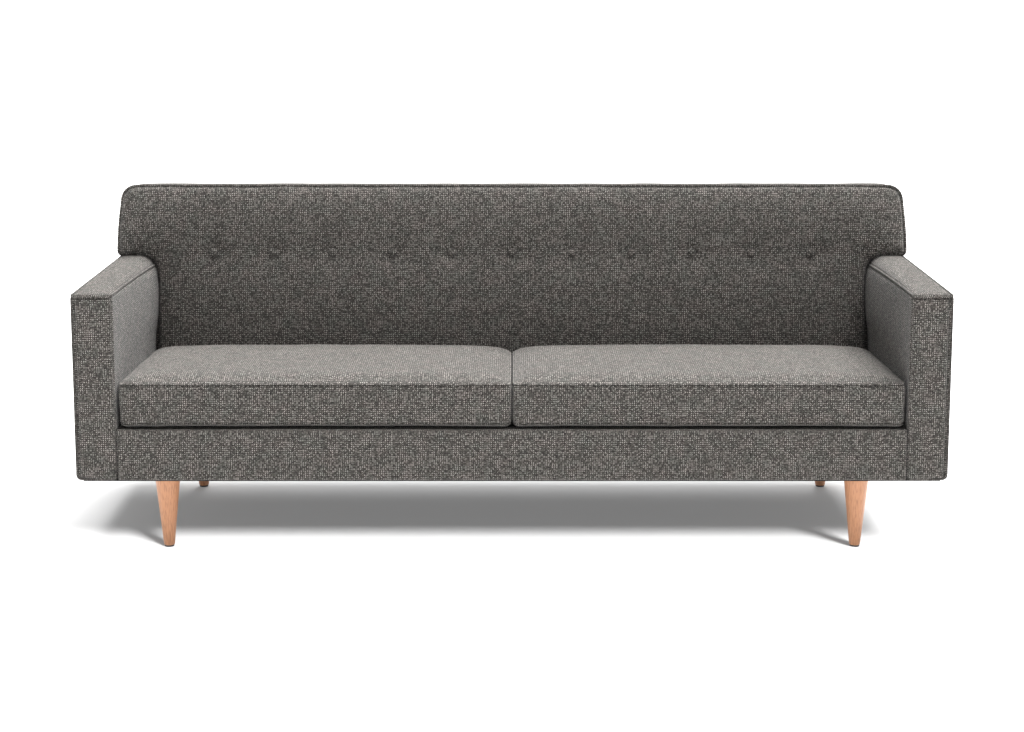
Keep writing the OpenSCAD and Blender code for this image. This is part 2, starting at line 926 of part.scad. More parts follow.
front_rail();
rear_rail();
left_side_rail();
right_side_rail();
centre_rail();
spring_rail();
leg_blocks();
seat_springs();
spring_clips();
deck_pad();
deck_cloth();
front_panel_pad();
front_panel_cover();
dust_cover();
front_left_leg();
front_right_leg();
rear_left_leg();
rear_right_leg();
hanger_bolts();
tee_nuts();
leg_glides();
arm_bolts();
left_arm_front_post();
left_arm_rear_post();
left_arm_top_rail();
left_arm_bottom_rail();
left_arm_foam();
left_arm_cover();
left_arm_piping();
right_arm_front_post();
right_arm_rear_post();
right_arm_top_rail();
right_arm_bottom_rail();
right_arm_foam();
right_arm_cover();
right_arm_piping();
back_posts();
back_top_rail();
back_middle_rail();
back_bottom_rail();
left_ear_block();
right_ear_block();
back_webbing();
back_foam_pad();
back_cover();
back_piping();
outside_back();
back_buttons();
button_twine();
left_cushion_core();
left_cushion_wrap();
left_cushion_cover();
left_zip_tape();
left_zip_slider();
right_cushion_core();
right_cushion_wrap();
right_cushion_cover();
right_zip_tape();
right_zip_slider();
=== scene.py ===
"""Sofa with a button-tufted back, two loose seat cushions and turned wooden legs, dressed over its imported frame.

Each class makes one part of the upholstery or one finish. Lengths are in metres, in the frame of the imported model.
"""
import json
import logging
import math
from dataclasses import dataclass, field
from enum import Enum
from typing import Callable, Iterable, Optional, Sequence, Union

import bmesh
import bpy
from mathutils import Matrix, Vector, noise
from mathutils.kdtree import KDTree


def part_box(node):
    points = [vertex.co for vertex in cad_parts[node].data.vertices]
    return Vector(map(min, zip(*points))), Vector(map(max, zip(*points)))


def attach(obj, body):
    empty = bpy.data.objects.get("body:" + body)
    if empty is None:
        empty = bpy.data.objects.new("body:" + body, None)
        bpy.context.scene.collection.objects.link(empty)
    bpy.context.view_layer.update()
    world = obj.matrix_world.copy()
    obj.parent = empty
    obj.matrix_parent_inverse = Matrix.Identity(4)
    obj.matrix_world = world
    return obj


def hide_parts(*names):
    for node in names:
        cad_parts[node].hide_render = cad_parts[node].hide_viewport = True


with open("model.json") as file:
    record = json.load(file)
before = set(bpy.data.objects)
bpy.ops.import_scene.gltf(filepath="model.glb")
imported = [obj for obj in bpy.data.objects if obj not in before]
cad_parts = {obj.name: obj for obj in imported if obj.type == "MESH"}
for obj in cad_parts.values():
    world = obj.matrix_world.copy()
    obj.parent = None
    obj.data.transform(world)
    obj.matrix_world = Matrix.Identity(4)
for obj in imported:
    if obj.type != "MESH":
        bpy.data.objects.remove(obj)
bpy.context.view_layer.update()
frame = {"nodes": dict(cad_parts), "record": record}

log = logging.getLogger("sofa")

Mesh = bmesh.types.BMesh
Value = Union[float, tuple, bpy.types.NodeSocket]
Socket = bpy.types.NodeSocket
Moves = Callable[[Vector], Vector]

RAKE = math.radians(12)          # lean of the back
SEAT_FALL = math.radians(1.5)    # fall of the seat from front to rear
BACK_DEPTH = 0.168               # thickness of the back, square to its face
WELD = 1e-6                      # points closer than this are one


def clamp(value: float, low: float = 0.0, high: float = 1.0) -> float:
    """A value held between two limits."""
    return min(max(value, low), high)


def shade(colour: Sequence[float], factor: float, lift: float = 0.0) -> tuple:
    """A colour made darker or lighter."""
    return tuple(min(1.0, c * factor + lift) for c in colour)


class Side(Enum):
    """The two ends of the sofa, seen from the front."""

    LEFT = -1
    RIGHT = 1

    @property
    def word(self) -> str:
        """The side's name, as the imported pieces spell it."""
        return self.name.lower()


# ---------- shader wiring ----------


class Wiring:
    """Adds nodes to a tree and joins them up."""

    def __init__(self, tree: bpy.types.NodeTree) -> None:
        """Keep the tree.

        Args:
            tree: the material's tree or the group that nodes are added to.
        """
        self.tree = tree

    def add(self, kind: str, values: Optional[dict] = None, **settings) -> bpy.types.Node:
        """Add one node.

        Args:
            kind: the node type, without its ShaderNode prefix.
            values: socket name or index to a number, a colour or another node's output.
            settings: properties of the node.

        Returns:
            The new node.
        """
        node = self.tree.nodes.new("ShaderNode" + kind)
        for name, setting in settings.items():
            setattr(node, name, setting)
        self.give(node, values or {})
        return node

    def put(self, socket: Socket, value: Value) -> None:
        """Set a socket, or link it to another node's output.

        Args:
            socket: the input to fill.
            value: a number, a colour or an output socket.
        """
        if isinstance(value, Socket):
            self.tree.links.new(value, socket)
        elif socket.type == "RGBA" and len(value) == 3:
            socket.default_value = (*value, 1.0)
        else:
            socket.default_value = value

    def math(self, operation: str, *terms: Value) -> Socket:
        """Add a Math node.

        Args:
            operation: its operation.
            terms: its operands in order.

        Returns:
            Its output.
        """
        return self.add("Math", dict(enumerate(terms)), operation=operation).outputs[0]

    def mix(self, share: Value, first: Value, second: Value, blend: str = "MIX") -> Socket:
        """Mix two colours.

        Args:
            share: how much of the second shows.
            first: a colour or an output.
            second: a colour or an output.
            blend: the blend type.

        Returns:
            The mixed colour.
        """
        node = self.add("Mix", data_type="RGBA", blend_type=blend)
        self.give(node, {0: share, 6: first, 7: second})
        return node.outputs[2]

    def vector(self, operation: str, first: Value, second: Value) -> Socket:
        """Add a Vector Math node with two operands, the second a number where it scales."""
        other = "Scale" if operation == "SCALE" else 1
        return self.add("VectorMath", {0: first, other: second}, operation=operation).outputs[0]

    def noise(self, place: Value, scale: Value, detail: float = 2.0, output: Union[int, str] = 0) -> Socket:
        """Add a noise texture and give one of its outputs."""
        return self.add("TexNoise", {"Vector": place, "Scale": scale, "Detail": detail}).outputs[output]

    def between(self, share: Value, first: Value, second: Value) -> Socket:
        """Mix two numbers."""
        return self.add("Mix", {0: share, 2: first, 3: second}).outputs[0]

    def span(self, value: Value, low: float, high: float) -> Socket:
        """Stretch a number from 0 to 1 over another range."""
        return self.add("MapRange", {0: value, 3: low, 4: high}).outputs[0]

    def give(self, node: bpy.types.Node, values: dict) -> None:
        """Fill several inputs of a node."""
        for name, value in values.items():
            self.put(node.inputs[name], value)

    def ramp(self, factor: Value, stops: Sequence[tuple]) -> Socket:
        """Add a colour ramp.

        Args:
            factor: what it is read with.
            stops: (position, colour) pairs from low to high.

        Returns:
            Its colour output.
        """
        node = self.add("ValToRGB", {"Fac": factor})
        for i, (at, colour) in enumerate(stops):
            stop = node.color_ramp.elements[i] if i < 2 else node.color_ramp.elements.new(at)
            stop.position, stop.color = at, (*colour, 1.0)
        return node.outputs["Color"]


def shader_group(name: str, inputs: Sequence[tuple], outputs: Sequence[str]) -> tuple:
    """Make an empty node group with named sockets.

    Args:
        name: the group's name.
        inputs: (name, socket type, default) of each input.
        outputs: name of each number that it puts out.

    Returns:
        The group, its wiring, its input node and its output node.
    """
    group = bpy.data.node_groups.new(name, "ShaderNodeTree")
    for label, kind, default in inputs:
        socket = group.interface.new_socket(name=label, in_out="INPUT", socket_type="NodeSocket" + kind)
        if default is not None:
            socket.default_value = default
    for label in outputs:
        group.interface.new_socket(name=label, in_out="OUTPUT", socket_type="NodeSocketFloat")
    return group, Wiring(group), group.nodes.new("NodeGroupInput"), group.nodes.new("NodeGroupOutput")


class Effects:
    """The shader groups that the finishes share, each built once."""

    def __init__(self) -> None:
        """Build every group."""
        self.weave = self._weave()
        self.grain = self._grain()
        self.mottle = self._mottle()
        self.fibres = self._fibres()

    @staticmethod
    def _weave() -> bpy.types.NodeTree:
        """Crossing yarns whose shade changes along short runs.

        Returns:
            A group that gives the yarn's shade, its height and a slow patchiness.
        """
        group, w, given, out = shader_group(
            "yarn_weave",
            [("Vector", "Vector", None), ("Thread", "Float", 0.003), ("Run", "Float", 3.0), ("Wobble", "Float", 0.3)],
            ["Yarn", "Height", "Patch"])
        place = given.outputs["Vector"]
        turns = w.vector("SCALE", place, w.math("DIVIDE", 1.0, given.outputs["Thread"]))
        drift = w.vector("SUBTRACT", w.noise(turns, 0.45, 1.0, "Color"), (0.5, 0.5, 0.5))
        drift = w.vector("SCALE", drift, w.math("MULTIPLY", 4.0, given.outputs["Wobble"]))
        across, along, _ = w.add("SeparateXYZ", {0: w.vector("ADD", turns, drift)}).outputs
        warp_no, weft_no = w.math("FLOOR", across), w.math("FLOOR", along)
        over = w.math("FLOORED_MODULO", w.math("ADD", warp_no, weft_no), 2.0)
        share = w.math("DIVIDE", 1.0, given.outputs["Run"])

        def yarn(number: Value, travel: Value, offset: float) -> Socket:
            """One set of yarns: a random shade for each short run of each yarn."""
            start = w.math("MULTIPLY", w.add("TexWhiteNoise", {"W": w.math("ADD", number, offset)},
                                             noise_dimensions="1D").outputs["Value"], 7.0)
            run = w.math("FLOOR", w.math("MULTIPLY_ADD", travel, share, start))
            where = w.add("CombineXYZ", {0: number, 1: run, 2: offset}).outputs[0]
            return w.add("TexWhiteNoise", {"Vector": where}, noise_dimensions="3D").outputs["Value"]

        def hump(travel: Value) -> Socket:
            """The rise and fall of a yarn over one crossing."""
            return w.math("SINE", w.math("MULTIPLY", w.math("FRACT", travel), math.pi))

        shade_of = w.between(over, yarn(warp_no, along, 3.7), yarn(weft_no, across, 41.3))
        pale = w.math("MULTIPLY", *[w.math("FLOORED_MODULO", number, 2.0) for number in (warp_no, weft_no)])
        hump_across, hump_along = hump(across), hump(along)
        warp_high, weft_high = [w.math("MULTIPLY", own, w.math("MULTIPLY_ADD", other, 0.4, 0.6))
                                for own, other in ((hump_across, hump_along), (hump_along, hump_across))]
        w.give(out, {"Yarn": w.math("MULTIPLY_ADD", shade_of, 0.67, w.math("MULTIPLY", pale, 0.33)),
                     "Height": w.between(over, warp_high, weft_high),
                     "Patch": w.noise(place, 26.0, 3.0)})
        return group

    @staticmethod
    def _grain() -> bpy.types.NodeTree:
        """Wood grain that runs along Z: slow bands, fine fibres and short flecks.

        Returns:
            A group that gives the band, the fleck and a height.
        """
        group, w, given, out = shader_group(
            "wood_grain", [("Vector", "Vector", None), ("Bands", "Float", 60.0), ("Flecks", "Float", 420.0)],
            ["Band", "Fleck", "Height"])
        long = w.vector("MULTIPLY", given.outputs["Vector"], (1.0, 1.0, 0.07))
        along = w.vector("ADD", long, w.vector("SCALE", w.noise(long, 14.0, 2.0, "Color"), 0.035))
        band = w.add("TexWave", {"Vector": along, "Scale": given.outputs["Bands"], "Distortion": 2.5, "Detail": 2.0},
                     wave_type="BANDS", bands_direction="X").outputs[1]
        fleck = w.math("MULTIPLY_ADD", w.noise(long, given.outputs["Flecks"]), 5.0, -2.4)
        fleck = w.math("MAXIMUM", w.math("SMOOTH_MIN", fleck, 1.0, 0.2), 0.0)
        w.give(out, {"Band": band, "Fleck": fleck, "Height": w.noise(long, 900.0, 1.0)})
        return group

    @staticmethod
    def _mottle() -> bpy.types.NodeTree:
        """Handling marks and dust: soft clouds with fine specks in them.

        Returns:
            A group that gives the clouds, the specks and the worn edges.
        """
        group, w, given, out = shader_group(
            "handling_marks", [("Vector", "Vector", None), ("Scale", "Float", 30.0), ("Edge", "Float", 0.5)],
            ["Cloud", "Speck", "Worn"])
        place, scale = given.outputs["Vector"], given.outputs["Scale"]
        cloud = w.noise(place, scale, 4.0)
        edge = w.add("NewGeometry").outputs["Pointiness"]
        worn = w.math("MULTIPLY", w.math("MULTIPLY_ADD", edge, 9.0, -4.75), given.outputs["Edge"])
        w.give(out, {"Cloud": cloud, "Speck": w.noise(place, w.math("MULTIPLY", scale, 28.0)),
                     "Worn": w.add("Clamp", {0: w.math("MULTIPLY", worn, cloud)}).outputs[0]})
        return group

    @staticmethod
    def _fibres() -> bpy.types.NodeTree:
        """Matted fibres or foam cells, as warped cells with a fine fuzz.

        Returns:
            A group that gives the cell shade and a height.
        """
        group, w, given, out = shader_group(
            "matted_fibres", [("Vector", "Vector", None), ("Scale", "Float", 500.0)], ["Cell", "Height"])
        warp = w.vector("SCALE", w.noise(given.outputs["Vector"], 90.0, 2.0, "Color"), 0.01)
        place = w.vector("ADD", given.outputs["Vector"], warp)
        cell = w.add("TexVoronoi", {"Vector": place, "Scale": given.outputs["Scale"]}).outputs["Distance"]
        fuzz = w.noise(place, given.outputs["Scale"], 3.0)
        w.give(out, {"Cell": cell, "Height": w.math("ADD", cell, fuzz)})
        return group


# ---------- finishes ----------


@dataclass(frozen=True)
class Finish:
    """What every finish has: a name, a roughness and the shared effects."""

    name: str
    slot: str
    roughness: float

    def start(self) -> tuple:
        """Make the material with its surface shader.

        Returns:
            The material, its wiring and the shader node.
        """
        material = bpy.data.materials.new(self.name)
        material.use_nodes = True
        material.node_tree.nodes.clear()
        w = Wiring(material.node_tree)
        surface = w.add("BsdfPrincipled", {"Roughness": self.roughness})
        out = w.add("OutputMaterial")
        material.node_tree.links.new(surface.outputs[0], out.inputs["Surface"])
        return material, w, surface

    @staticmethod
    def effect(w: Wiring, group: bpy.types.NodeTree, values: dict) -> bpy.types.Node:
        """Place one of the shared groups.

        Args:
            w: the material's wiring.
            group: the group to place.
            values: its inputs.

        Returns:
            The group node.
        """
        node = w.add("Group", node_tree=group)
        w.give(node, values)
        return node

    @staticmethod
    def cover(w: Wiring, surface: bpy.types.Node, colour: Value, relief: tuple, others: Optional[dict] = None) -> None:
        """Give the surface its colour, its relief and its other values.

        Args:
            w: the material's wiring.
            surface: the shader node.
            colour: its colour.
            relief: the height, how strongly it shows and how far it reaches.
            others: input name to value.
        """
        height, strength, distance = relief
        bump = w.add("Bump", {"Strength": strength, "Distance": distance, "Height": height})
        w.give(surface, {"Base Color": colour, "Normal": bump.outputs[0], **(others or {})})

    @staticmethod
    def place(w: Wiring, centre: Sequence[float] = (0, 0, 0), turn: Sequence[float] = (0, 0, 0)) -> Socket:
        """The piece's own coordinates, moved and turned to suit the pattern.

        Args:
            w: the material's wiring.
            centre: where the pattern is centred.
            turn: its turn in degrees.

        Returns:
            The coordinate output.
        """
        where = w.add("TexCoord").outputs["Object"]
        return w.add("Mapping", {"Vector": where, "Location": tuple(centre),
                                 "Rotation": tuple(math.radians(a) for a in turn)}).outputs[0]


@dataclass(frozen=True)
class Tweed(Finish):
    """Salt-and-pepper upholstery cloth of charcoal, grey and pale yarns, laid along the piece's own map, with painted
    shade in the hollows between yarns.
    """

    dark: tuple = (0.010, 0.0094, 0.0090)
    mid: tuple = (0.049, 0.0451, 0.0422)
    light: tuple = (0.137, 0.1265, 0.1190)
    fleck: tuple = (0.388, 0.362, 0.346)
    thread: float = 0.0026
    sheen: float = 0.12

    def material(self, effects: Effects) -> bpy.types.Material:
        """Build the cloth.

        Args:
            effects: the shared groups.

        Returns:
            The material.
        """
        material, w, surface = self.start()
        where = w.add("UVMap", uv_map="cloth").outputs[0]
        weave = self.effect(w, effects.weave, {"Vector": where, "Thread": self.thread, "Run": 1.15, "Wobble": 0.06})
        yarn = w.ramp(weave.outputs["Yarn"], [(0.0, self.dark), (1.0, self.fleck), (0.18, self.mid),
                                              (0.44, self.mid), (0.62, self.light), (0.86, self.fleck)])
        height = weave.outputs["Height"]
        # Painted shade: the yarn colour is multiplied darker where the weave is low, in the hollows between yarns.
        depth = w.span(height, 0.42, 1.12)
        colour = w.mix(1.0, yarn, w.add("CombineColor", {0: depth, 1: depth, 2: depth}).outputs[0], "MULTIPLY")
        tint = w.ramp(weave.outputs["Patch"], [(0.34, (0.89, 0.93, 0.89)), (0.66, (1.06, 1.02, 0.99))])
        self.cover(w, surface, w.mix(1.0, colour, tint, "MULTIPLY"), (height, 0.55, 0.0009),
                   {"Sheen Weight": self.sheen, "Sheen Roughness": 0.45, "Specular IOR Level": 0.2})
        return material


@dataclass(frozen=True)
class PlainCloth(Finish):
    """Thin woven or non-woven cloth of one yarn: webbing, tape and the cloth under the seat, with painted shade between
    its yarns and painted highlight on their crests.
    """

    colour: tuple = (0.03, 0.03, 0.03)
    thread: float = 0.0008

    def material(self, effects: Effects) -> bpy.types.Material:
        """Build the cloth.

        Args:
            effects: the shared groups.

        Returns:
            The material.
        """
        material, w, surface = self.start()
        x, y, z = w.add("SeparateXYZ", {0: self.place(w)}).outputs
        lie = w.add("CombineXYZ", {0: x, 1: w.math("ADD", y, z)}).outputs[0]
        weave = self.effect(w, effects.weave, {"Vector": lie, "Thread": self.thread, "Run": 8.0, "Wobble": 0.1})
        height = weave.outputs["Height"]
        # Painted shade and highlight: darker in the hollows between yarns and lighter on their crests, read from the
        # weave's height.
        yarn = w.ramp(height, [(0.1, shade(self.colour, 0.55)), (1.0, shade(self.colour, 1.5))])
        self.cover(w, surface, yarn, (height, 0.5, 0.0003))
        return material


@dataclass(frozen=True)
class Matted(Finish):
    """Foam, felt, fibre wrap and twine: a body of cells or matted fibres."""

    colour: tuple = (0.78, 0.72, 0.52)
    scale: float = 500.0

    def material(self, effects: Effects) -> bpy.types.Material:
        """Build the filling.

        Args:
            effects: the shared groups.

        Returns:
            The material.
        """
        material, w, surface = self.start()
        fibres = self.effect(w, effects.fibres, {"Vector": self.place(w), "Scale": self.scale})
        colour = w.ramp(fibres.outputs["Cell"], [(0.05, shade(self.colour, 0.62)), (0.55, self.colour)])
        self.cover(w, surface, colour, (fibres.outputs["Height"], 0.5, 0.001))
        return material


@dataclass(frozen=True)
class Wood(Finish):
    """Solid wood with its grain along Z, or turned so that it runs along a rail."""

    pale: tuple = (0.62, 0.36, 0.20)
    deep: tuple = (0.45, 0.22, 0.11)
    coat: float = 0.0
    turn: tuple = (0, 0, 0)
    bands: float = 60.0

    def material(self, effects: Effects) -> bpy.types.Material:
        """Build the wood.

        Args:
            effects: the shared groups.

        Returns:
            The material.
        """
        material, w, surface = self.start()
        where = self.place(w, (0.31, 0.17, 0.0), self.turn)
        grain = self.effect(w, effects.grain, {"Vector": where, "Bands": self.bands})
        marks = self.effect(w, effects.mottle, {"Vector": where, "Scale": 18.0, "Edge": 0.8})
        body = self.pale
        for source, share, colour in ((grain.outputs["Band"], 0.55, self.deep),
                                      (grain.outputs["Fleck"], 0.5, shade(self.deep, 0.55)),
                                      (marks.outputs["Worn"], 0.6, shade(self.pale, 1.25))):
            body = w.mix(w.math("MULTIPLY", source, share), body, colour)
        gloss = w.span(marks.outputs["Cloud"], self.roughness - 0.07, self.roughness + 0.1)
        self.cover(w, surface, body, (grain.outputs["Height"], 0.25, 0.0003),
                   {"Roughness": gloss, "Coat Weight": self.coat, "Coat Roughness": 0.25})
        return material


@dataclass(frozen=True)
class Hard(Finish):
    """Plated metal or moulded plastic with handling marks and worn edges."""

    colour: tuple = (0.6, 0.6, 0.6)
    metal: float = 1.0

    def material(self, effects: Effects) -> bpy.types.Material:
        """Build the metal or plastic.

        Args:
            effects: the shared groups.

        Returns:
            The material.
        """
        material, w, surface = self.start()
        marks = self.effect(w, effects.mottle, {"Vector": self.place(w), "Scale": 60.0, "Edge": 1.0})
        body = w.mix(w.math("MULTIPLY", marks.outputs["Cloud"], 0.4), self.colour, shade(self.colour, 0.7))
        body = w.mix(marks.outputs["Worn"], body, shade(self.colour, 1.4, 0.02))
        gloss = w.span(marks.outputs["Cloud"], self.roughness - 0.1, self.roughness + 0.15)
        self.cover(w, surface, body, (marks.outputs["Speck"], 0.15, 0.0002),
                   {"Roughness": gloss, "Metallic": self.metal})
        return material


class Finishes:
    """Every finish of the sofa, by the slot that it fills."""

    def __init__(self) -> None:
        """Build the shared effects and then each finish."""
        effects = Effects()
        kinds = [
            Tweed("upholstery_tweed", "upholstery", 0.92),
            Matted("cream_foam", "foam", 0.95, (0.78, 0.72, 0.52), 420.0),
            Matted("fibre_wrap", "fibre_wrap", 0.98, (0.85, 0.85, 0.83), 160.0),
            Matted("grey_felt", "felt", 0.98, (0.50, 0.48, 0.43), 650.0),
            Matted("waxed_twine", "twine", 0.8, (0.62, 0.55, 0.40), 900.0),
            PlainCloth("dust_cloth", "dust_cloth", 0.95, (0.028, 0.028, 0.028), 0.0012),
            PlainCloth("elastic_webbing", "webbing", 0.85, (0.035, 0.035, 0.036), 0.0016),
            PlainCloth("zip_tape_cloth", "zip_tape", 0.85, (0.045, 0.044, 0.043), 0.0006),
            Wood("frame_hardwood", "frame_wood", 0.6, (0.62, 0.46, 0.28), (0.46, 0.31, 0.16), 0.0, (0, 90, 0), 45.0),
            Wood("leg_beech", "leg_wood", 0.42, (0.50, 0.228, 0.105), (0.42, 0.175, 0.072), 0.25, (0, 0, 0), 70.0),
            Hard("plated_steel", "steel", 0.35, (0.62, 0.62, 0.60), 1.0),
            Hard("gunmetal_zip", "zip_metal", 0.3, (0.32, 0.32, 0.33), 1.0),
            Hard("black_nylon", "glide_plastic", 0.5, (0.03, 0.03, 0.03), 0.0),
        ]
        self.by_slot = {kind.slot: kind.material(effects) for kind in kinds}

    def dress(self, piece: bpy.types.Object, slot: str) -> None:
        """Give a new piece the finish of a slot.

        Args:
            piece: the piece.
            slot: the record's slot name.
        """
        piece.data.materials.clear()
        piece.data.materials.append(self.by_slot[slot])

    @staticmethod
    def parts() -> dict:
        """The record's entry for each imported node, by the node's name."""
        return {part.get("node") or part.get("name"): part for part in frame["record"]["subparts"]}

    def slot_of(self, node: str) -> str:
        """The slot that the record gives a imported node."""
        return self.parts()[node]["material_slot"]

    def dress_frame(self) -> None:
        """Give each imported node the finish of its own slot."""
        for name, part in self.parts().items():
            node = frame["nodes"].get(name)
            if node is None:
                continue
            material = self.by_slot[part["material_slot"]] if "material_slot" in part else None
            for slot in node.material_slots:
                slot.material = material or self.by_slot.get(slot.material.name.split(".")[0], slot.material)


# ---------- making meshes ----------


def spread(low: float, high: float, step: float, edge: Sequence[float] = (), extra: Iterable[float] = ()) -> list:
    """Places for the rows of a mesh between two ends.

    Args:
        low: one end.
        high: the other end.
        step: the widest gap away from the ends.
        edge: distances from each end that get a row.
        extra: other places that get a row.

    Returns:
        The places in order, without the ends.
    """
    last = edge[-1] if edge else 0.0
    count = max(1, round((high - low - 2 * last) / step))
    rows = [low + e for e in edge] + [high - e for e in edge]
    rows += [low + last + (high - low - 2 * last) * i / count for i in range(count + 1)]
    rows += list(extra)
    kept: list = []
    for place in sorted(rows):
        if low + 1e-5 < place < high - 1e-5 and (not kept or place - kept[-1] > 4e-4):
            kept.append(place)
    return kept


def cut(bm: Mesh, axis: int, places: Iterable[float]) -> None:
    """Add rows of edges to a mesh on planes across one axis.

    Args:
        bm: the mesh.
        axis: 0, 1 or 2.
        places: where the planes are.
    """
    normal = Vector([float(i == axis) for i in range(3)])
    for place in places:
        near = [f for f in bm.faces if min(v.co[axis] for v in f.verts) < place < max(v.co[axis] for v in f.verts)]
        edges = {e for f in near for e in f.edges}
        verts = {v for f in near for v in f.verts}
        bmesh.ops.bisect_plane(bm, geom=[*verts, *edges, *near], dist=WELD, plane_co=normal * place, plane_no=normal)


def brick(bm: Mesh, size: Sequence[float], place: Sequence[float], turn: float = 0.0) -> list:
    """Add a plain box to a mesh.

    Args:
        bm: the mesh.
        size: the box's size.
        place: its middle.
        turn: its turn about Z.

    Returns:
        Its vertices.
    """
    made = bmesh.ops.create_cube(bm, size=1.0)["verts"]
    bmesh.ops.scale(bm, verts=made, vec=size)
    bmesh.ops.rotate(bm, verts=made, cent=(0, 0, 0), matrix=Matrix.Rotation(turn, 3, "Z"))
    bmesh.ops.translate(bm, verts=made, vec=place)
    return made


def lathe(bm: Mesh, profile: Sequence[tuple], axis: int, steps: int, place: Vector) -> None:
    """Add a turned piece to a mesh.

    Args:
        bm: the mesh.
        profile: distance from the axis and place along it, from end to end.
        axis: 1 for Y or 2 for Z.
        steps: faces round it.
        place: where the profile's origin goes.
    """
    old = set(bm.verts)
    verts = [bm.verts.new((reach, along, 0.0) if axis == 1 else (reach, 0.0, along)) for reach, along in profile]
    edges = [bm.edges.new(pair) for pair in zip(verts, verts[1:])]
    bmesh.ops.spin(bm, geom=[*verts, *edges], cent=(0, 0, 0), axis=[float(i == axis) for i in range(3)],
                   angle=2 * math.pi, steps=steps, use_merge=True)
    bmesh.ops.remove_doubles(bm, verts=[v for v in bm.verts if v not in old], dist=WELD)
    bmesh.ops.translate(bm, verts=[v for v in bm.verts if v not in old], vec=place)


def map_of(points: Sequence[Vector]) -> KDTree:
    """A search tree that finds the nearest of some points."""
    tree = KDTree(len(points))
    for i, point in enumerate(points):
        tree.insert(point, i)
    tree.balance()
    return tree


def move_each(bm: Mesh, move: Callable[[bmesh.types.BMVert], Vector]) -> None:
    """Move every vertex of a mesh, once all the moves are known."""
    for v, shift in [(v, move(v)) for v in bm.verts]:
        v.co += shift


def block(low: Vector, high: Vector, rows: Sequence[Sequence[float]]) -> Mesh:
    """A box with chosen rows of edges.

    Args:
        low: its lowest corner.
        high: its highest corner.
        rows: places of the rows on each axis.

    Returns:
        The mesh.
    """
    bm = bmesh.new()
    brick(bm, high - low, (low + high) / 2)
    for axis in range(3):
        cut(bm, axis, rows[axis])
    return bm


def lay_cloth(bm: Mesh, shift: float = 0.0) -> None:
    """Lay the weave flat on each panel of a mesh, square to the panel's edges.

    Args:
        bm: the mesh, before it is rounded or swelled.
        shift: moves the weave, so that neighbouring pieces differ.
    """
    bm.normal_update()
    layer = bm.loops.layers.uv.verify()
    for f in bm.faces:
        n = [abs(c) for c in f.normal]
        axis = n.index(max(n))
        a, b = ((1, 2), (0, 2), (0, 1))[axis]
        for loop in f.loops:
            loop[layer].uv = (loop.vert.co[a] + shift + 0.7 * axis, loop.vert.co[b] + 0.31 * axis)


def round_off(bm: Mesh, low: Vector, high: Vector, radii: Moves) -> None:
    """Round the edges and corners of a box mesh.

    Args:
        bm: the mesh of the box.
        low: the box's lowest corner.
        high: the box's highest corner.
        radii: gives the radius along each axis at a point.
    """
    for v in bm.verts:
        r = radii(v.co)
        core = Vector([clamp(v.co[i], low[i] + r[i], high[i] - r[i]) for i in range(3)])
        out = Vector([(v.co[i] - core[i]) / r[i] for i in range(3)])
        if out.length > 1e-9:
            out *= max(abs(c) for c in out) / out.length
            v.co = core + Vector([out[i] * r[i] for i in range(3)])


def swell(bm: Mesh, low: Vector, high: Vector, amount: Sequence[tuple], reach: float = 0.02) -> None:
    """Crown the sides of a box mesh.

    Args:
        bm: the mesh of the box.
        low: the box's lowest corner.
        high: the box's highest corner.
        amount: for each axis, how far its low side and its high side rise in the middle.
        reach: how far below a side its rise still pulls.
    """
    size = high - low

    def rise(v: bmesh.types.BMVert) -> Vector:
        """How far a point rises with the sides beside it."""
        crown = [1 - abs(2 * clamp((v.co[i] - low[i]) / size[i]) - 1) ** 3 for i in range(3)]
        move = Vector()
        for axis, (rise_low, rise_high) in enumerate(amount):
            a, b = [i for i in range(3) if i != axis]
            down = max(0.0, 1 - (v.co[axis] - low[axis]) / reach)
            up = max(0.0, 1 - (high[axis] - v.co[axis]) / reach)
            move[axis] = crown[a] * crown[b] * (up * rise_high - down * rise_low)
        return move

    move_each(bm, rise)


def follow(path: Sequence[Vector], step: float = 0.003) -> list:
    """Points along a path, no further apart than a step.

    Args:
        path: the path.
        step: the widest gap.

    Returns:
        The points.
    """
    points = [path[0]]
    for a, b in zip(path, path[1:]):
        count = max(1, math.ceil((b - a).length / step))
        points += [a.lerp(b, k / count) for k in range(1, count + 1)]
    return points


def nestle(bm: Mesh, path: Sequence[Vector], depth: float, reach: float) -> None:
    """Press a furrow into a mesh along a path, where piping or a seam pulls the cloth in.

    Args:
        bm: the mesh.
        path: the seam's line.
        depth: how deep the furrow is.
        reach: how wide it is.
    """
    tree = map_of(follow(path))
    bm.normal_update()

    def furrow(v: bmesh.types.BMVert) -> Vector:
        """How far a point is pulled in."""
        _, _, away = tree.find(v.co)
        return v.normal * -depth * math.exp(-(away / reach) ** 2) if away < 3 * reach else Vector()

    move_each(bm, furrow)


def ruffle(bm: Mesh, height: float, size: float, seed: float) -> None:
    """Give a mesh the slight unevenness of cloth over soft stuffing.

    Args:
        bm: the mesh.
        height: the greatest move.
        size: distance from one swelling to the next.
        seed: where in the noise this piece lies.
    """
    bm.normal_update()
    for v in bm.verts:
        v.co += v.normal * noise.noise(v.co / size + Vector((seed, seed, seed))) * height


def finish_mesh(bm: Mesh, name: str, recalculate: bool = True) -> bpy.types.Object:
    """Turn a mesh into a smooth-shaded object at the origin.

    Args:
        bm: the mesh, which is freed.
        name: the object's name.
        recalculate: whether normals are made to point out.

    Returns:
        The object.
    """
    bmesh.ops.remove_doubles(bm, verts=bm.verts, dist=WELD)
    if recalculate:
        bmesh.ops.recalc_face_normals(bm, faces=bm.faces)
    for f in bm.faces:
        f.smooth = True
    data = bpy.data.meshes.new(name)
    bm.to_mesh(data)
    bm.free()
    if data.uv_layers:
        data.uv_layers[0].name = "cloth"
    piece = bpy.data.objects.new(name, data)
    bpy.context.scene.collection.objects.link(piece)
    return piece


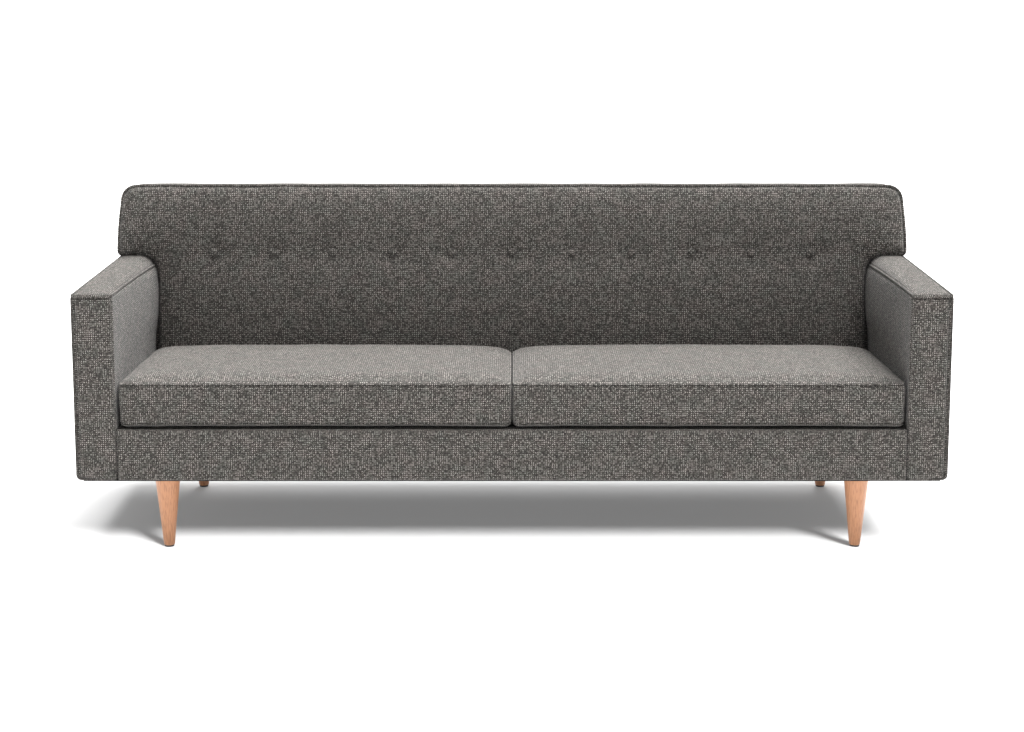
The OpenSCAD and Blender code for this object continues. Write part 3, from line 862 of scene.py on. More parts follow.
def refine(piece: bpy.types.Object, levels: int = 1) -> None:
    """Smooth a piece with subdivision.

    Args:
        piece: the piece.
        levels: the subdivision level.
    """
    mod = piece.modifiers.new("smooth", "SUBSURF")
    mod.levels = mod.render_levels = levels
    mod.boundary_smooth = "PRESERVE_CORNERS"


def welt(name: str, path: Sequence[Vector], radius: float, sides: int = 10) -> bpy.types.Object:
    """Fabric-covered piping along a path.

    Args:
        name: the object's name.
        path: its centreline.
        radius: its radius.
        sides: faces round it.

    Returns:
        The object, with its weave laid along it.
    """
    bm = bmesh.new()
    n = len(path)
    layer = bm.loops.layers.uv.verify()

    def heading(i: int) -> Vector:
        """Direction of the path at point i."""
        return (path[min(i + 1, n - 1)] - path[max(i - 1, 0)]).normalized()

    turn = Vector((0, 0, 1)).rotation_difference(heading(0)).to_matrix().to_4x4()
    bmesh.ops.create_circle(bm, segments=sides, radius=radius, matrix=Matrix.Translation(path[0]) @ turn)
    edges = first = bm.edges[:]
    lengths = [0.0]
    for i in range(1, n):
        made = bmesh.ops.extrude_edge_only(bm, edges=edges)["geom"]
        ring = [g for g in made if isinstance(g, bmesh.types.BMVert)]
        edges = [g for g in made if isinstance(g, bmesh.types.BMEdge) and all(v in ring for v in g.verts)]
        bend = heading(i - 1).rotation_difference(heading(i)).to_matrix().to_4x4()
        onward = Matrix.Translation(path[i]) @ bend @ Matrix.Translation(-path[i - 1])
        bmesh.ops.transform(bm, verts=ring, matrix=onward)
        lengths.append(lengths[-1] + (path[i] - path[i - 1]).length)
    for loop in (first, edges):
        bmesh.ops.holes_fill(bm, edges=loop, sides=0)
    tree = map_of(path)
    for f in bm.faces:
        for loop in f.loops:
            _, i, _ = tree.find(loop.vert.co)
            lean = loop.vert.co - path[i]
            loop[layer].uv = (lengths[i], (lean.length and math.atan2(lean.z, lean.x + lean.y)) * radius)
    return finish_mesh(bm, name)


def bend_round(corners: Sequence[Vector], radii: Sequence[float], step: float) -> list:
    """A path through corners with rounded turns and evenly spaced points.

    Args:
        corners: the corners in order.
        radii: how far before and after each corner the turn starts, none at the ends.
        step: the widest gap between points.

    Returns:
        The points.
    """
    points: list = []
    for i, corner in enumerate(corners):
        if radii[i] < 1e-4:
            points.append(corner.copy())
            continue
        before = (corners[i - 1] - corner).normalized() * radii[i]
        after = (corners[i + 1] - corner).normalized() * radii[i]
        points += [corner + before * (1 - k / 6) ** 2 + after * (k / 6) ** 2 for k in range(7)]
    return follow(points, step)


class Stuffing:
    """Cloth simulation of a cover filled from inside, read off as moves that a finer mesh can follow."""

    def __init__(self, pressure: float = 4.0, frames: int = 20) -> None:
        """Keep how hard and how long the cover is filled.

        Args:
            pressure: the filling's pressure.
            frames: how many frames it settles for.
        """
        self.pressure, self.frames = pressure, frames

    def moves(self, bm: Mesh, cap: Vector, held: Callable[[Vector], float]) -> Moves:
        """Fill the cover.

        Args:
            bm: a plain mesh of the cover, which is freed.
            cap: the greatest move along each axis.
            held: how firmly a point is sewn down, from 0 to 1.

        Returns:
            A function that gives the move at a point of the cover.
        """
        bmesh.ops.recalc_face_normals(bm, faces=bm.faces)
        data = bpy.data.meshes.new("stuffing")
        bm.to_mesh(data)
        bm.free()
        rest = [v.co.copy() for v in data.vertices]
        piece = bpy.data.objects.new("stuffing", data)
        scene = bpy.context.scene
        scene.collection.objects.link(piece)
        pins = piece.vertex_groups.new(name="held")
        for i, point in enumerate(rest):
            pins.add([i], held(point), "REPLACE")
        cloth = piece.modifiers.new("filling", "CLOTH")
        for name, value in (("use_pressure", True), ("uniform_pressure_force", self.pressure), ("quality", 6),
                            ("mass", 0.35), ("tension_stiffness", 12), ("compression_stiffness", 12),
                            ("bending_stiffness", 0.8), ("vertex_group_mass", "held")):
            setattr(cloth.settings, name, value)
        cloth.settings.effector_weights.gravity = 0
        cloth.point_cache.frame_start, cloth.point_cache.frame_end = 1, self.frames
        for number in range(1, self.frames + 1):
            scene.frame_set(number)
        settled = piece.evaluated_get(bpy.context.evaluated_depsgraph_get())
        shift = [v.co - p for v, p in zip(settled.data.vertices, rest)]
        scene.frame_set(1)
        bpy.data.objects.remove(piece)
        shift = [Vector([cap[i] * math.tanh(s[i] / cap[i]) for i in range(3)]) for s in shift]
        tree = map_of(rest)

        def at(point: Vector) -> Vector:
            """Blend the moves of the nearest points."""
            total, weight = Vector(), 0.0
            for _, i, distance in tree.find_n(point, 6):
                share = 1 / (distance * distance + 1e-5)
                total += shift[i] * share
                weight += share
            return total / weight

        return at


# ---------- the upholstery ----------


@dataclass
class Upholstery:
    """What every upholstered part knows: the finishes and the size of the piping."""

    finishes: Finishes
    welt_r: float = 0.003
    made: list = field(default_factory=list)

    def keep(self, piece: bpy.types.Object, body: str, nodes: Sequence[str], slot: str = "upholstery") -> None:
        """Dress a piece and put it on its body.

        Args:
            piece: the piece.
            body: the body it moves with.
            nodes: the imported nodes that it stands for.
            slot: its finish.
        """
        self.finishes.dress(piece, slot)
        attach(piece, body)
        if nodes:
            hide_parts(*nodes)
        self.made.append(piece)

    def filling(self, name: str, low: Vector, high: Vector, radius: float, rise: float, body: str, node: str,
                slot: str = "foam", turn: Matrix = Matrix()) -> None:
        """Make the soft filling inside a cover.

        Args:
            name: its name.
            low: lowest corner.
            high: highest corner.
            radius: softness of its edges.
            rise: how far its top is crowned.
            body: the body it moves with.
            node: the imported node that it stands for.
            slot: its finish.
            turn: from its own frame to the sofa's.
        """
        edge = (radius * 0.4, radius)
        rows = [spread(low[i], high[i], 0.06, edge if high[i] - low[i] > 3 * radius else ()) for i in range(3)]
        bm = block(low, high, rows)
        lay_cloth(bm)
        round_off(bm, low, high, lambda point: Vector((radius,) * 3))
        swell(bm, low, high, [(0, 0), (0, 0), (0, rise)])
        bmesh.ops.transform(bm, verts=bm.verts, matrix=turn)
        pad = finish_mesh(bm, name)
        refine(pad)
        self.keep(pad, body, [node], slot)


@dataclass
class SeatCushion(Upholstery):
    """A loose box cushion: boxed sides between two seams, a crowned top and a zip at the rear."""

    side: Side = Side.RIGHT
    depth: float = 0.5219
    height: float = 0.112
    width: float = 0.968
    gap: float = 0.0015
    front: float = -0.4055
    base: float = 0.320
    roll: float = 0.0065
    seam_drop: float = 0.0115
    seam_rise: float = 0.011
    crest: float = 0.0065
    end_fall: float = 0.007
    heaped: float = 0.0025
    unevenness: float = 0.0013

    @property
    def turn(self) -> Matrix:
        """From the cushion's own frame to the sofa's."""
        return Matrix.Translation((0, self.front, self.base)) @ Matrix.Rotation(-SEAT_FALL, 4, "X")

    def corners(self) -> tuple:
        """The cushion's box in its own frame.

        Returns:
            Its lowest and highest corners.
        """
        inner, outer = self.gap, self.gap + self.width
        low_x, high_x = (inner, outer) if self.side is Side.RIGHT else (-outer, -inner)
        near, far = (-0.0009, 0.002) if self.side is Side.RIGHT else (0.002, -0.0009)
        return Vector((low_x + near, 0.004, 0.0)), Vector((high_x - far, self.depth - 0.002, self.height + self.roll))

    def radii(self, low: Vector, high: Vector) -> Moves:
        """Softness of the edges: rounder below than at the top seam.

        Args:
            low: lowest corner.
            high: highest corner.

        Returns:
            The radius at a point.
        """
        def at(point: Vector) -> Vector:
            """Radius at a point."""
            above, behind = point.z > (low.z + high.z) / 2, point.y > (low.y + high.y) / 2
            corner = 0.026 if behind else 0.011 if above else 0.020
            rolled = clamp((point.z - (high.z - self.seam_drop)) / 0.010)
            corner += (0.034 - corner) * rolled
            return Vector((corner, corner, self.seam_drop + 0.001 if above else 0.014))
        return at

    def build(self, moves: Moves) -> None:
        """Make the cover and the fibre inside it.

        Args:
            moves: the filling's moves in the right cushion's own frame.
        """
        low, high = self.corners()
        edge = (0.0025, 0.006, 0.010, 0.015, 0.021, 0.028, 0.036, 0.048)
        top, bottom = high.z - self.seam_drop, low.z + self.seam_rise
        beside = {0.0: -0.0042, 0.0011: -0.0012, -0.0011: -0.0026, 0.0030: 0.0012, -0.0030: -0.0002}
        z_rows = [bottom - 0.0055, 0.022, 0.034, 0.048, 0.06, 0.074, 0.086, 0.096, 0.1135]
        z_rows += [place + offset for place in (top, bottom) for offset in beside]
        z_rows.sort()
        bm = block(low, high, [spread(low.x, high.x, 0.020, edge), spread(low.y, high.y, 0.020, edge), z_rows])
        lay_cloth(bm, 0.137 * self.side.value)
        seams = {}
        for v in bm.verts:
            for place in (top, bottom):
                for offset, push in beside.items():
                    if abs(v.co.z - place - (offset if place == top else -offset)) < 2e-4:
                        seams[v] = push
        round_off(bm, low, high, self.radii(low, high))
        for v in bm.verts:
            mirrored = Vector((v.co.x * self.side.value, v.co.y, v.co.z))
            move = moves(mirrored)
            v.co += Vector((0.2 * move.x * self.side.value, move.y, move.z + self.heap(v.co, low, high)))
        bm.normal_update()
        for v, push in seams.items():
            flat = Vector((v.normal.x, v.normal.y, 0.0))
            if flat.length > 0.05:
                v.co += flat.normalized() * push
        ruffle(bm, self.unevenness, 0.085, 3.1 + self.side.value)
        self.settle(bm, low, high)
        bmesh.ops.transform(bm, verts=bm.verts, matrix=self.turn)
        piece = finish_mesh(bm, f"{self.side.word}_seat_cushion")
        refine(piece)
        name = f"{self.side.word}_cushion"
        self.keep(piece, name, [f"{name}_cover"])
        inset = Vector((0.010, 0.010, 0.008))
        self.filling(f"{name}_fibre", low + inset, high - inset * 1.3, 0.022, 0.002, name, f"{name}_wrap", "fibre_wrap",
                     self.turn)

    def heap(self, point: Vector, low: Vector, high: Vector) -> float:
        """How much the top rolls up from its seam, and heaps up towards the middle of the rear.

        Args:
            point: the place.
            low: lowest corner.
            high: highest corner.

        Returns:
            The rise.
        """
        across, back, up = [clamp((point[i] - low[i]) / (high[i] - low[i])) for i in range(3)]
        side, face = [max(0.0, min(point[i] - low[i], high[i] - point[i])) for i in range(2)]
        roll = self.crest * max(0.0, up - 0.8) / 0.2 * (1 - math.exp(-side / 0.060)) * (1 - math.exp(-face / 0.030))
        fall = self.end_fall * math.exp(-side / 0.045) * back * max(0.0, up - 0.5) * 2
        return roll - fall + self.heaped * (1 - abs(2 * across - 1) ** 3) * back ** 1.5 * up

    def settle(self, bm: Mesh, low: Vector, high: Vector) -> None:
        """Flatten the cushion where it rests and keep it clear of its neighbours.

        Args:
            bm: the mesh in the cushion's own frame.
            low: the box's lowest corner.
            high: the box's highest corner.
        """
        limits_low = Vector((low.x - 0.0003, low.y - 0.004, 0.0002))
        limits_high = Vector((high.x + 0.0003, high.y + 0.001, 1.0))
        for v in bm.verts:
            v.co = Vector([clamp(v.co[i], limits_low[i], limits_high[i]) for i in range(3)])

    def stuff(self) -> Moves:
        """Fill a plain cover of this size.

        Returns:
            The filling's moves.
        """
        low, high = self.corners()
        bm = block(low, high, [spread(low.x, high.x, 0.016, (0.008,)), spread(low.y, high.y, 0.016, (0.008,)),
                               spread(low.z, high.z, 0.014, (0.008,))])
        round_off(bm, low, high, self.radii(low, high))

        def held(point: Vector) -> float:
            """The seams and corners stay put."""
            at_seam = min(abs(point.z - (high.z - self.seam_drop)), abs(point.z - self.seam_rise)) < 0.004
            side = min(point.x - low.x, high.x - point.x, point.y - low.y, high.y - point.y) < 0.01
            return 0.85 if at_seam and side else 0.0

        return Stuffing(4.0).moves(bm, Vector((0.004, 0.006, 0.005)), held)


@dataclass
class SeatCushions:
    """Both cushions, filled once and mirrored, with their zips."""

    finishes: Finishes

    def build(self) -> list:
        """Make both cushions.

        Returns:
            Every piece made.
        """
        pieces = []
        moves = SeatCushion(self.finishes, side=Side.RIGHT).stuff()
        for side in Side:
            cushion = SeatCushion(self.finishes, side=side)
            cushion.build(moves)
            pieces += cushion.made
            pieces += Zip(self.finishes, side=side).build()
        return pieces


@dataclass
class Zip(Upholstery):
    """The zip in a cushion's rear: tape, teeth, slider and pull."""

    side: Side = Side.RIGHT
    pitch: float = 0.0032

    def build(self) -> list:
        """Make the tape with its teeth, and the slider.

        Returns:
            The pieces.
        """
        word = self.side.word
        low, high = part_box(f"{word}_zip_tape")
        middle = (low + high) / 2
        bm = block(low + Vector((0, 0.0001, 0)), high, [spread(low.x, high.x, 0.03), [], [middle.z]])
        lay_cloth(bm)
        count = int((high.x - low.x) / self.pitch)
        for i in range(count):
            side = 0.0006 if i % 2 else -0.0006
            brick(bm, (self.pitch * 0.55, 0.0010, 0.0048),
                  (low.x + self.pitch * (i + 0.5), high.y + 0.0001, middle.z + side))
        tape = finish_mesh(bm, f"{word}_zip_tape_with_teeth")
        tape.data.shade_flat()
        self.keep(tape, f"{word}_cushion", [f"{word}_zip_tape"], "zip_tape")
        tape.data.materials.append(self.finishes.by_slot["zip_metal"])
        for f in tape.data.polygons:
            if abs(f.center.z - middle.z) < 0.0035 and f.center.y > high.y + 0.0002:
                f.material_index = 1
        self.slide(word)
        return self.made

    def slide(self, word: str) -> None:
        """The slider with its bridge and hanging pull.

        Args:
            word: the side's name.
        """
        low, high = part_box(f"{word}_zip_slider")
        x, top = (low.x + high.x) / 2, high.z
        bm = bmesh.new()
        parts = [((0.0105, 0.0026, 0.0120), (x, low.y + 0.0014, top - 0.0062), 0.0011),
                 ((0.0032, 0.0012, 0.0074), (x, high.y - 0.0007, top - 0.0066), 0.0005),
                 ((0.0060, 0.0011, 0.0200), (x, high.y - 0.0009, low.z + 0.0102), 0.00045)]
        for size, place, round_by in parts:
            old = set(bm.edges)
            brick(bm, size, place)
            edges = [e for e in bm.edges if e not in old]
            bmesh.ops.bevel(bm, geom=edges, offset=round_by, segments=3, affect="EDGES", profile=0.5, material=-1)
        lay_cloth(bm)
        slider = finish_mesh(bm, f"{word}_zip_slider_and_pull")
        self.keep(slider, f"{word}_zip", [f"{word}_zip_slider"], "zip_metal")


@dataclass
class Arm(Upholstery):
    """A slab arm with piping along its top edges and round its front panel."""

    side: Side = Side.RIGHT
    edge: float = 0.011
    rear_edge: float = 0.046
    outer_edge: float = 0.012
    plump: float = 0.0035
    groove: float = 0.0028
    panel: float = 0.0085
    panel_groove: float = 0.0072
    belly: float = 0.0075
    unevenness: float = 0.0009
    face_y: float = 0.2017

    def __post_init__(self) -> None:
        """Find the arm's place."""
        self.low, self.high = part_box(f"{self.side.word}_arm_cover")
        s = self.side.value
        self.inner = self.low.x if s > 0 else self.high.x
        self.outer = (self.high.x if s > 0 else self.low.x) + s * self.plump
        self.low.x, self.high.x = sorted((self.inner, self.outer))

    def ease(self, y: float) -> float:
        """How far towards the back a place is, from 0 to 1, as the inner top edge grows rounder."""
        return clamp((y - self.low.y) / (self.face_y - self.low.y))

    def radii(self, point: Vector) -> Vector:
        """Softness of an edge near a point.

        Args:
            point: the place.

        Returns:
            The radius along each axis.
        """
        inner = abs(point.x - self.inner) < abs(point.x - self.outer)
        upper = point.z > (self.low.z + self.high.z) / 2
        if upper:
            r = self.edge + (self.rear_edge - self.edge) * self.ease(point.y) if inner else self.outer_edge
        else:
            r = 0.006 if inner else 0.015
        return Vector((r, 0.009, r))

    def clear_seat(self, bm: Mesh) -> None:
        """Belly the inner side out over the seat and keep it clear of the cushion below.

        Args:
            bm: the arm's mesh.
        """
        s = self.side.value
        for v in bm.verts:
            over = clamp((v.co.z - 0.455) / 0.05) * clamp((0.63 - v.co.z) / 0.06)
            back = clamp((v.co.y + 0.36) / 0.5)
            if abs(v.co.x - self.inner) < 0.01:
                v.co.x -= s * self.belly * over * back
            if v.co.z < 0.45:
                v.co.x = max(v.co.x, self.inner - 0.0006) if s > 0 else min(v.co.x, self.inner + 0.0006)

    def top_edge(self, y: float, inner: bool) -> Vector:
        """Centre of the piping on a top edge.

        Args:
            y: how far back.
            inner: whether it is the edge over the seat.

        Returns:
            The point.
        """
        s = self.side.value
        ease = self.ease(y) if inner else 0.0
        r = self.edge + (self.rear_edge - self.edge) * ease if inner else self.outer_edge
        angle = math.radians(45 - 15 * ease)
        reach = r + 0.0002
        inset = r - reach * math.cos(angle)
        x = self.inner + s * inset if inner else self.outer - s * inset
        return Vector((x, y, self.high.z - r + reach * math.sin(angle)))

    def build(self) -> list:
        """Make the padded cover and its piping.

        Returns:
            The pieces.
        """
        low, high = self.low, self.high
        word, s = self.side.word, self.side.value
        fine = (0.0022, 0.0048, 0.008, 0.012, 0.017, 0.023, 0.030, 0.038, 0.046)
        rows_y = spread(low.y, high.y, 0.022, (0.002, 0.005, 0.009, 0.02))
        bm = block(low, high, [spread(low.x, high.x, 0.014, fine), rows_y, spread(low.z, high.z, 0.022, fine)])
        lay_cloth(bm, 0.41 * s)
        round_off(bm, low, high, self.radii)
        sides = (0.0012, 0.0022) if self.side is Side.RIGHT else (0.0022, 0.0012)
        swell(bm, low, high, [sides, (0.0035, 0.0), (0.0, 0.0035)])
        ruffle(bm, self.unevenness, 0.11, 7.7 * s)
        self.clear_seat(bm)

        def frontal(inward: float, y: float, height: float, outer: bool = False) -> Vector:
            """A point of the front, inset from the inner or the outer side."""
            return Vector((self.outer - s * inward if outer else self.inner + s * inward, y, height))

        runs = [[self.top_edge(low.y + 0.004 + (high.y - low.y - 0.006) * i / 60, inner) for i in range(61)]
                for inner in (True, False)]
        c, panel = 0.0040, self.panel
        front = low.y + c
        runs.append(bend_round([frontal(c, front, high.z - c), frontal(c, front, high.z - c, True),
                                frontal(c, front, low.z + c, True), frontal(0.002, front, low.z + c)],
                               [0, 0.008, 0.013, 0], 0.012))
        for run in runs:
            nestle(bm, run, self.groove, 0.0052)
        inside = [frontal(panel, low.y, high.z - panel), frontal(panel, low.y, high.z - panel, True),
                  frontal(panel, low.y, low.z + panel, True)]
        nestle(bm, inside, self.panel_groove, 0.0033)
        nestle(bm, [frontal(0.002, low.y + 0.002, high.z - 0.01), frontal(0.002, low.y + 0.002, low.z)], 0.0018, 0.003)
        cover = finish_mesh(bm, f"{word}_arm_upholstery")
        refine(cover)
        self.keep(cover, "root", [f"{word}_arm_cover"])
        self.filling(f"{word}_arm_padding", low + Vector((0.008, 0.008, 0.008)), high - Vector((0.008, 0.008, 0.014)),
                     0.016, 0.0, "root", f"{word}_arm_foam")
        for label, run in zip(("inner_edge", "outer_edge", "front"), runs):
            piping = welt(f"{word}_arm_piping_{label}", run, self.welt_r)
            refine(piping)
            self.keep(piping, "root", [f"{word}_arm_piping"] if label == "front" else [])
        return self.made


@dataclass
class Back(Upholstery):
    """The T-shaped back: a crowned, buttoned face, boxing, piping and covered buttons."""

    half: float = 1.080
    stem: float = 0.9715
    top: float = 0.19936
    bottom: float = -0.3404
    under: float = 0.0010
    deep: float = 0.1645
    corner: float = 0.050
    notch: float = 0.048
    lip: float = 0.010
    side_lip: float = 0.016
    crown: float = 0.011
    buttons: int = 11
    pitch: float = 0.163
    row: float = 0.0112
    button_r: float = 0.0125
    foot_corner: float = 0.016
    notch_pull: float = 0.0105
    ear_draw: float = 0.008
    hollow: float = 0.024
    bow: float = 0.003
    unevenness: float = 0.0016

    def __post_init__(self) -> None:
        """Find the leaning frame of the back."""
        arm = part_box("right_arm_cover")[1]
        face_y = arm.y + 0.003 - BACK_DEPTH / math.cos(RAKE)
        self.turn = Matrix.Translation((0, face_y, arm.z)) @ Matrix.Rotation(-RAKE, 4, "X")
        self.places = [(i - (self.buttons - 1) / 2) * self.pitch for i in range(self.buttons)]

    def inside(self, x: float, z: float) -> float:
        """Distance from a point of the face to the edge of the T."""
        bar = min(self.half - abs(x), self.top - z, z - self.under)
        post = min(self.stem - abs(x), z - self.bottom, self.top - z)
        return max(bar, post)

    def slab(self, step: float, edge: Sequence[float], depth_rows: Sequence[float], extra: Sequence[float]) -> Mesh:
        """A T-shaped slab with even rows.

        Args:
            step: gap between rows.
            edge: rows beside each edge.
            depth_rows: rows into the depth.
            extra: more rows across.

        Returns:
            The mesh in the back's own frame.
        """
        bm = bmesh.new()
        bmesh.ops.create_grid(bm, x_segments=1, y_segments=1, size=1.0)
        bmesh.ops.scale(bm, verts=bm.verts, vec=(self.half, (self.top - self.bottom) / 2, 1))
        bmesh.ops.translate(bm, verts=bm.verts, vec=(0, (self.top + self.bottom) / 2, 0))
        bmesh.ops.rotate(bm, verts=bm.verts, cent=(0, 0, 0), matrix=Matrix.Rotation(math.pi / 2, 3, "X"))
        inner = spread(-self.stem, self.stem, step, edge, extra)
        outer = spread(self.stem, self.half, step, edge)
        cut(bm, 0, sorted([*inner, -self.stem, self.stem, *outer, *[-x for x in outer]]))
        cut(bm, 2, [*spread(self.bottom, self.under, step, edge), self.under,
                    *spread(self.under, self.top, step, edge)])
        middles = [(f, f.calc_center_median()) for f in bm.faces]
        gone = [f for f, middle in middles if abs(middle.x) > self.stem and middle.z < self.under]
        bmesh.ops.delete(bm, geom=gone, context="FACES")
        raised = bmesh.ops.extrude_face_region(bm, geom=bm.faces[:])["geom"]
        bmesh.ops.translate(bm, verts=[g for g in raised if isinstance(g, bmesh.types.BMVert)], vec=(0, self.deep, 0))
        cut(bm, 1, depth_rows)
        bmesh.ops.recalc_face_normals(bm, faces=bm.faces)
        return bm

    def shape(self, bm: Mesh) -> None:
        """Round the ears, fill the notches over the arms and lay the undersides level.

        Args:
            bm: the flat slab.
        """
        for v in bm.verts:
            x, z, s = abs(v.co.x), v.co.z, (1 if v.co.x > 0 else -1)
            d = self.inside(x, z)
            for r, edge, up in ((self.corner, self.top, 1), (self.foot_corner, self.under, -1)):
                a, b = x - (self.half - r), up * z - (up * edge - r)
                if a > 0 and b > 0:
                    share = max(a, b) / math.hypot(a, b)
                    x, z = self.half - r + a * share, edge - up * r + up * b * share
            near = math.hypot(x - self.stem, z - self.under)
            if near < self.notch * 1.6:
                pull = self.notch_pull * (1 - near / (self.notch * 1.6)) ** 2
                x, z = x + pull, z - pull
            if abs(v.co.x) > self.stem - 1e-4 and z > self.under - 0.02:
                t = clamp((self.top - z) / (self.top - self.under))
                z += t * v.co.y * math.tan(RAKE)
            lip = self.lip
            if d < lip and v.co.y < lip:
                depth = lip - math.sqrt(max(0.0, lip * lip - (lip - d) ** 2))
                v.co.y = max(v.co.y, depth * 0.9)
            v.co.y += self.sink(v.co.x, v.co.z, v.co.y)
            v.co.x, v.co.z = self.taper(x * s, z), z

    def taper(self, x: float, z: float) -> float:
        """The place across of a point, drawn in towards the top of an ear."""
        up = clamp((z - self.under - 0.026) / 0.12) ** 1.7
        out = clamp((abs(x) - 0.80) / (self.half - 0.80))
        return x - math.copysign(self.ear_draw * up * out, x)

    def sink(self, x: float, z: float, y: float = 0.0) -> float:
        """How far the face draws back where the arms hold its sides.

        Args:
            x: the place across.
            z: the place up the face.
            y: the place behind the face.

        Returns:
            The draw.
        """
        d = self.stem - abs(x)
        if d > self.side_lip or y > 0.06:
            return 0.0
        t = 1 - max(d, 0.0) / self.side_lip
        return self.hollow * t * t * clamp((self.under + 0.012 - z) / 0.03) * (1 - y / 0.06)

    def from_button(self, x: float, z: float) -> float:
        """Distance from a point of the face to the nearest button."""
        return math.hypot(min(abs(x - place) for place in self.places), z - self.row)

    def dimple(self, x: float, z: float) -> float:
        """How much a button pulls at a point, from 0 to 1."""
        return math.exp(-self.from_button(x, z) ** 2 / (2 * 0.022 ** 2))

    def build(self) -> list:
        """Make the stuffed cover, the piping and the buttons.

        Returns:
            The pieces.
        """
        plain = self.slab(0.022, (0.010,), [0.02, 0.06, 0.11], self.places)

        def held(point: Vector) -> float:
            """Sewn at the piping, behind it and at the buttons."""
            edge = point.y > 0.001 or self.inside(abs(point.x), point.z) < 0.008
            return float(edge or self.from_button(point.x, point.z) < 0.013)

        moves = Stuffing(3.0).moves(plain, Vector((0.003, 0.010, 0.003)), held)
        rows = sorted({p + o for p in self.places for o in (-0.030, -0.017, -0.009, 0.0, 0.009, 0.017, 0.030)})
        edge = (0.0022, 0.005, 0.0078, 0.0105, 0.015, 0.022)
        bm = self.slab(0.020, edge, [0.003, 0.0065, 0.012, 0.03, 0.06, 0.09, 0.12, 0.15, 0.158], rows)
        lay_cloth(bm)
        shifts = {}
        for v in bm.verts:
            if v.co.y < 0.001:
                d = self.inside(abs(v.co.x), v.co.z)
                rise = self.crown * (1 - math.exp(-max(0.0, d - 0.004) / 0.030))
                pull = self.dimple(v.co.x, v.co.z)
                shifts[v] = moves(v.co) * 0.9 + Vector((0, -rise * (1 - 0.3 * pull) + 0.0012 * pull, 0))
        self.shape(bm)
        for v, move in shifts.items():
            v.co += move
        for v in bm.verts:
            if 0.012 < v.co.y < 0.155:
                t = (v.co.y - 0.012) / 0.143
                bow = self.bow * math.sin(math.pi * t)
                if v.co.z > self.top - 0.004:
                    v.co.z += 3.3 * bow
                elif abs(v.co.x) > self.half - 0.004:
                    v.co.x += math.copysign(bow, v.co.x)
        ruffle(bm, self.unevenness, 0.12, 2.3)
        nestle(bm, self.edge_path(0.0034, 0.0034), 0.0026, 0.005)
        nestle(bm, self.edge_path(0.0088, 0.001), 0.0052, 0.0034)
        bmesh.ops.transform(bm, verts=bm.verts, matrix=self.turn)
        cover = finish_mesh(bm, "back_upholstery")
        refine(cover)
        self.keep(cover, "root", ["back_cover"])
        pad = self.slab(0.09, (0.016,), [0.03, 0.09, 0.14], [])
        lay_cloth(pad)
        self.shape(pad)
        pad.normal_update()
        for v in pad.verts:
            v.co -= v.normal * 0.009
            v.co.y = min(max(v.co.y, 0.016), self.deep - 0.012)
        bmesh.ops.transform(pad, verts=pad.verts, matrix=self.turn)
        filling = finish_mesh(pad, "back_padding")
        self.keep(filling, "root", ["back_foam_pad"], "foam")
        self.pipe()
        self.button_up()
        return self.made

    def edge_path(self, inset: float, depth: float) -> list:
        """A line round the face, beside its edge.

        Args:
            inset: how far in from the edge.
            depth: how far behind the face.

        Returns:
            The points in the back's own frame.
        """
        c, u = inset, self.under + inset
        right = [Vector((self.stem - c, depth, self.bottom + 0.006)), Vector((self.stem - c, depth, u)),
                 Vector((self.half - c, depth, u)), Vector((self.half - c, depth, self.top - c))]
        left = [Vector((-p.x, p.y, p.z)) for p in reversed(right)]
        path = bend_round([*right, *left], [0, 0.030, 0.014, 0.047, 0.047, 0.014, 0.030, 0], 0.012)
        return [Vector((self.taper(p.x, p.z), p.y + self.sink(p.x, p.z), p.z)) for p in path]

    def pipe(self) -> None:
        """Piping round the face."""
        path = self.edge_path(0.0034, 0.0034)
        piping = welt("back_face_piping", [self.turn @ p for p in path], self.welt_r)
        refine(piping)
        self.keep(piping, "root", ["back_piping"])

    def button_up(self) -> None:
        """Covered buttons, each a low dome turned in under its rim."""
        bm = bmesh.new()
        r = self.button_r
        profile = [(0.0, -0.0108), (r * 0.35, -0.0106), (r * 0.65, -0.0098), (r * 0.88, -0.0082), (r, -0.0062),
                   (r * 0.96, -0.0030), (r * 0.8, 0.0008), (0.0, 0.0012)]
        for x in self.places:
            lathe(bm, profile, 1, 24, Vector((x, -0.0034, self.row)))
        lay_cloth(bm, 0.23)
        bmesh.ops.transform(bm, verts=bm.verts, matrix=self.turn)
        piece = finish_mesh(bm, "covered_buttons")
        refine(piece)
        self.keep(piece, "root", ["back_buttons"])


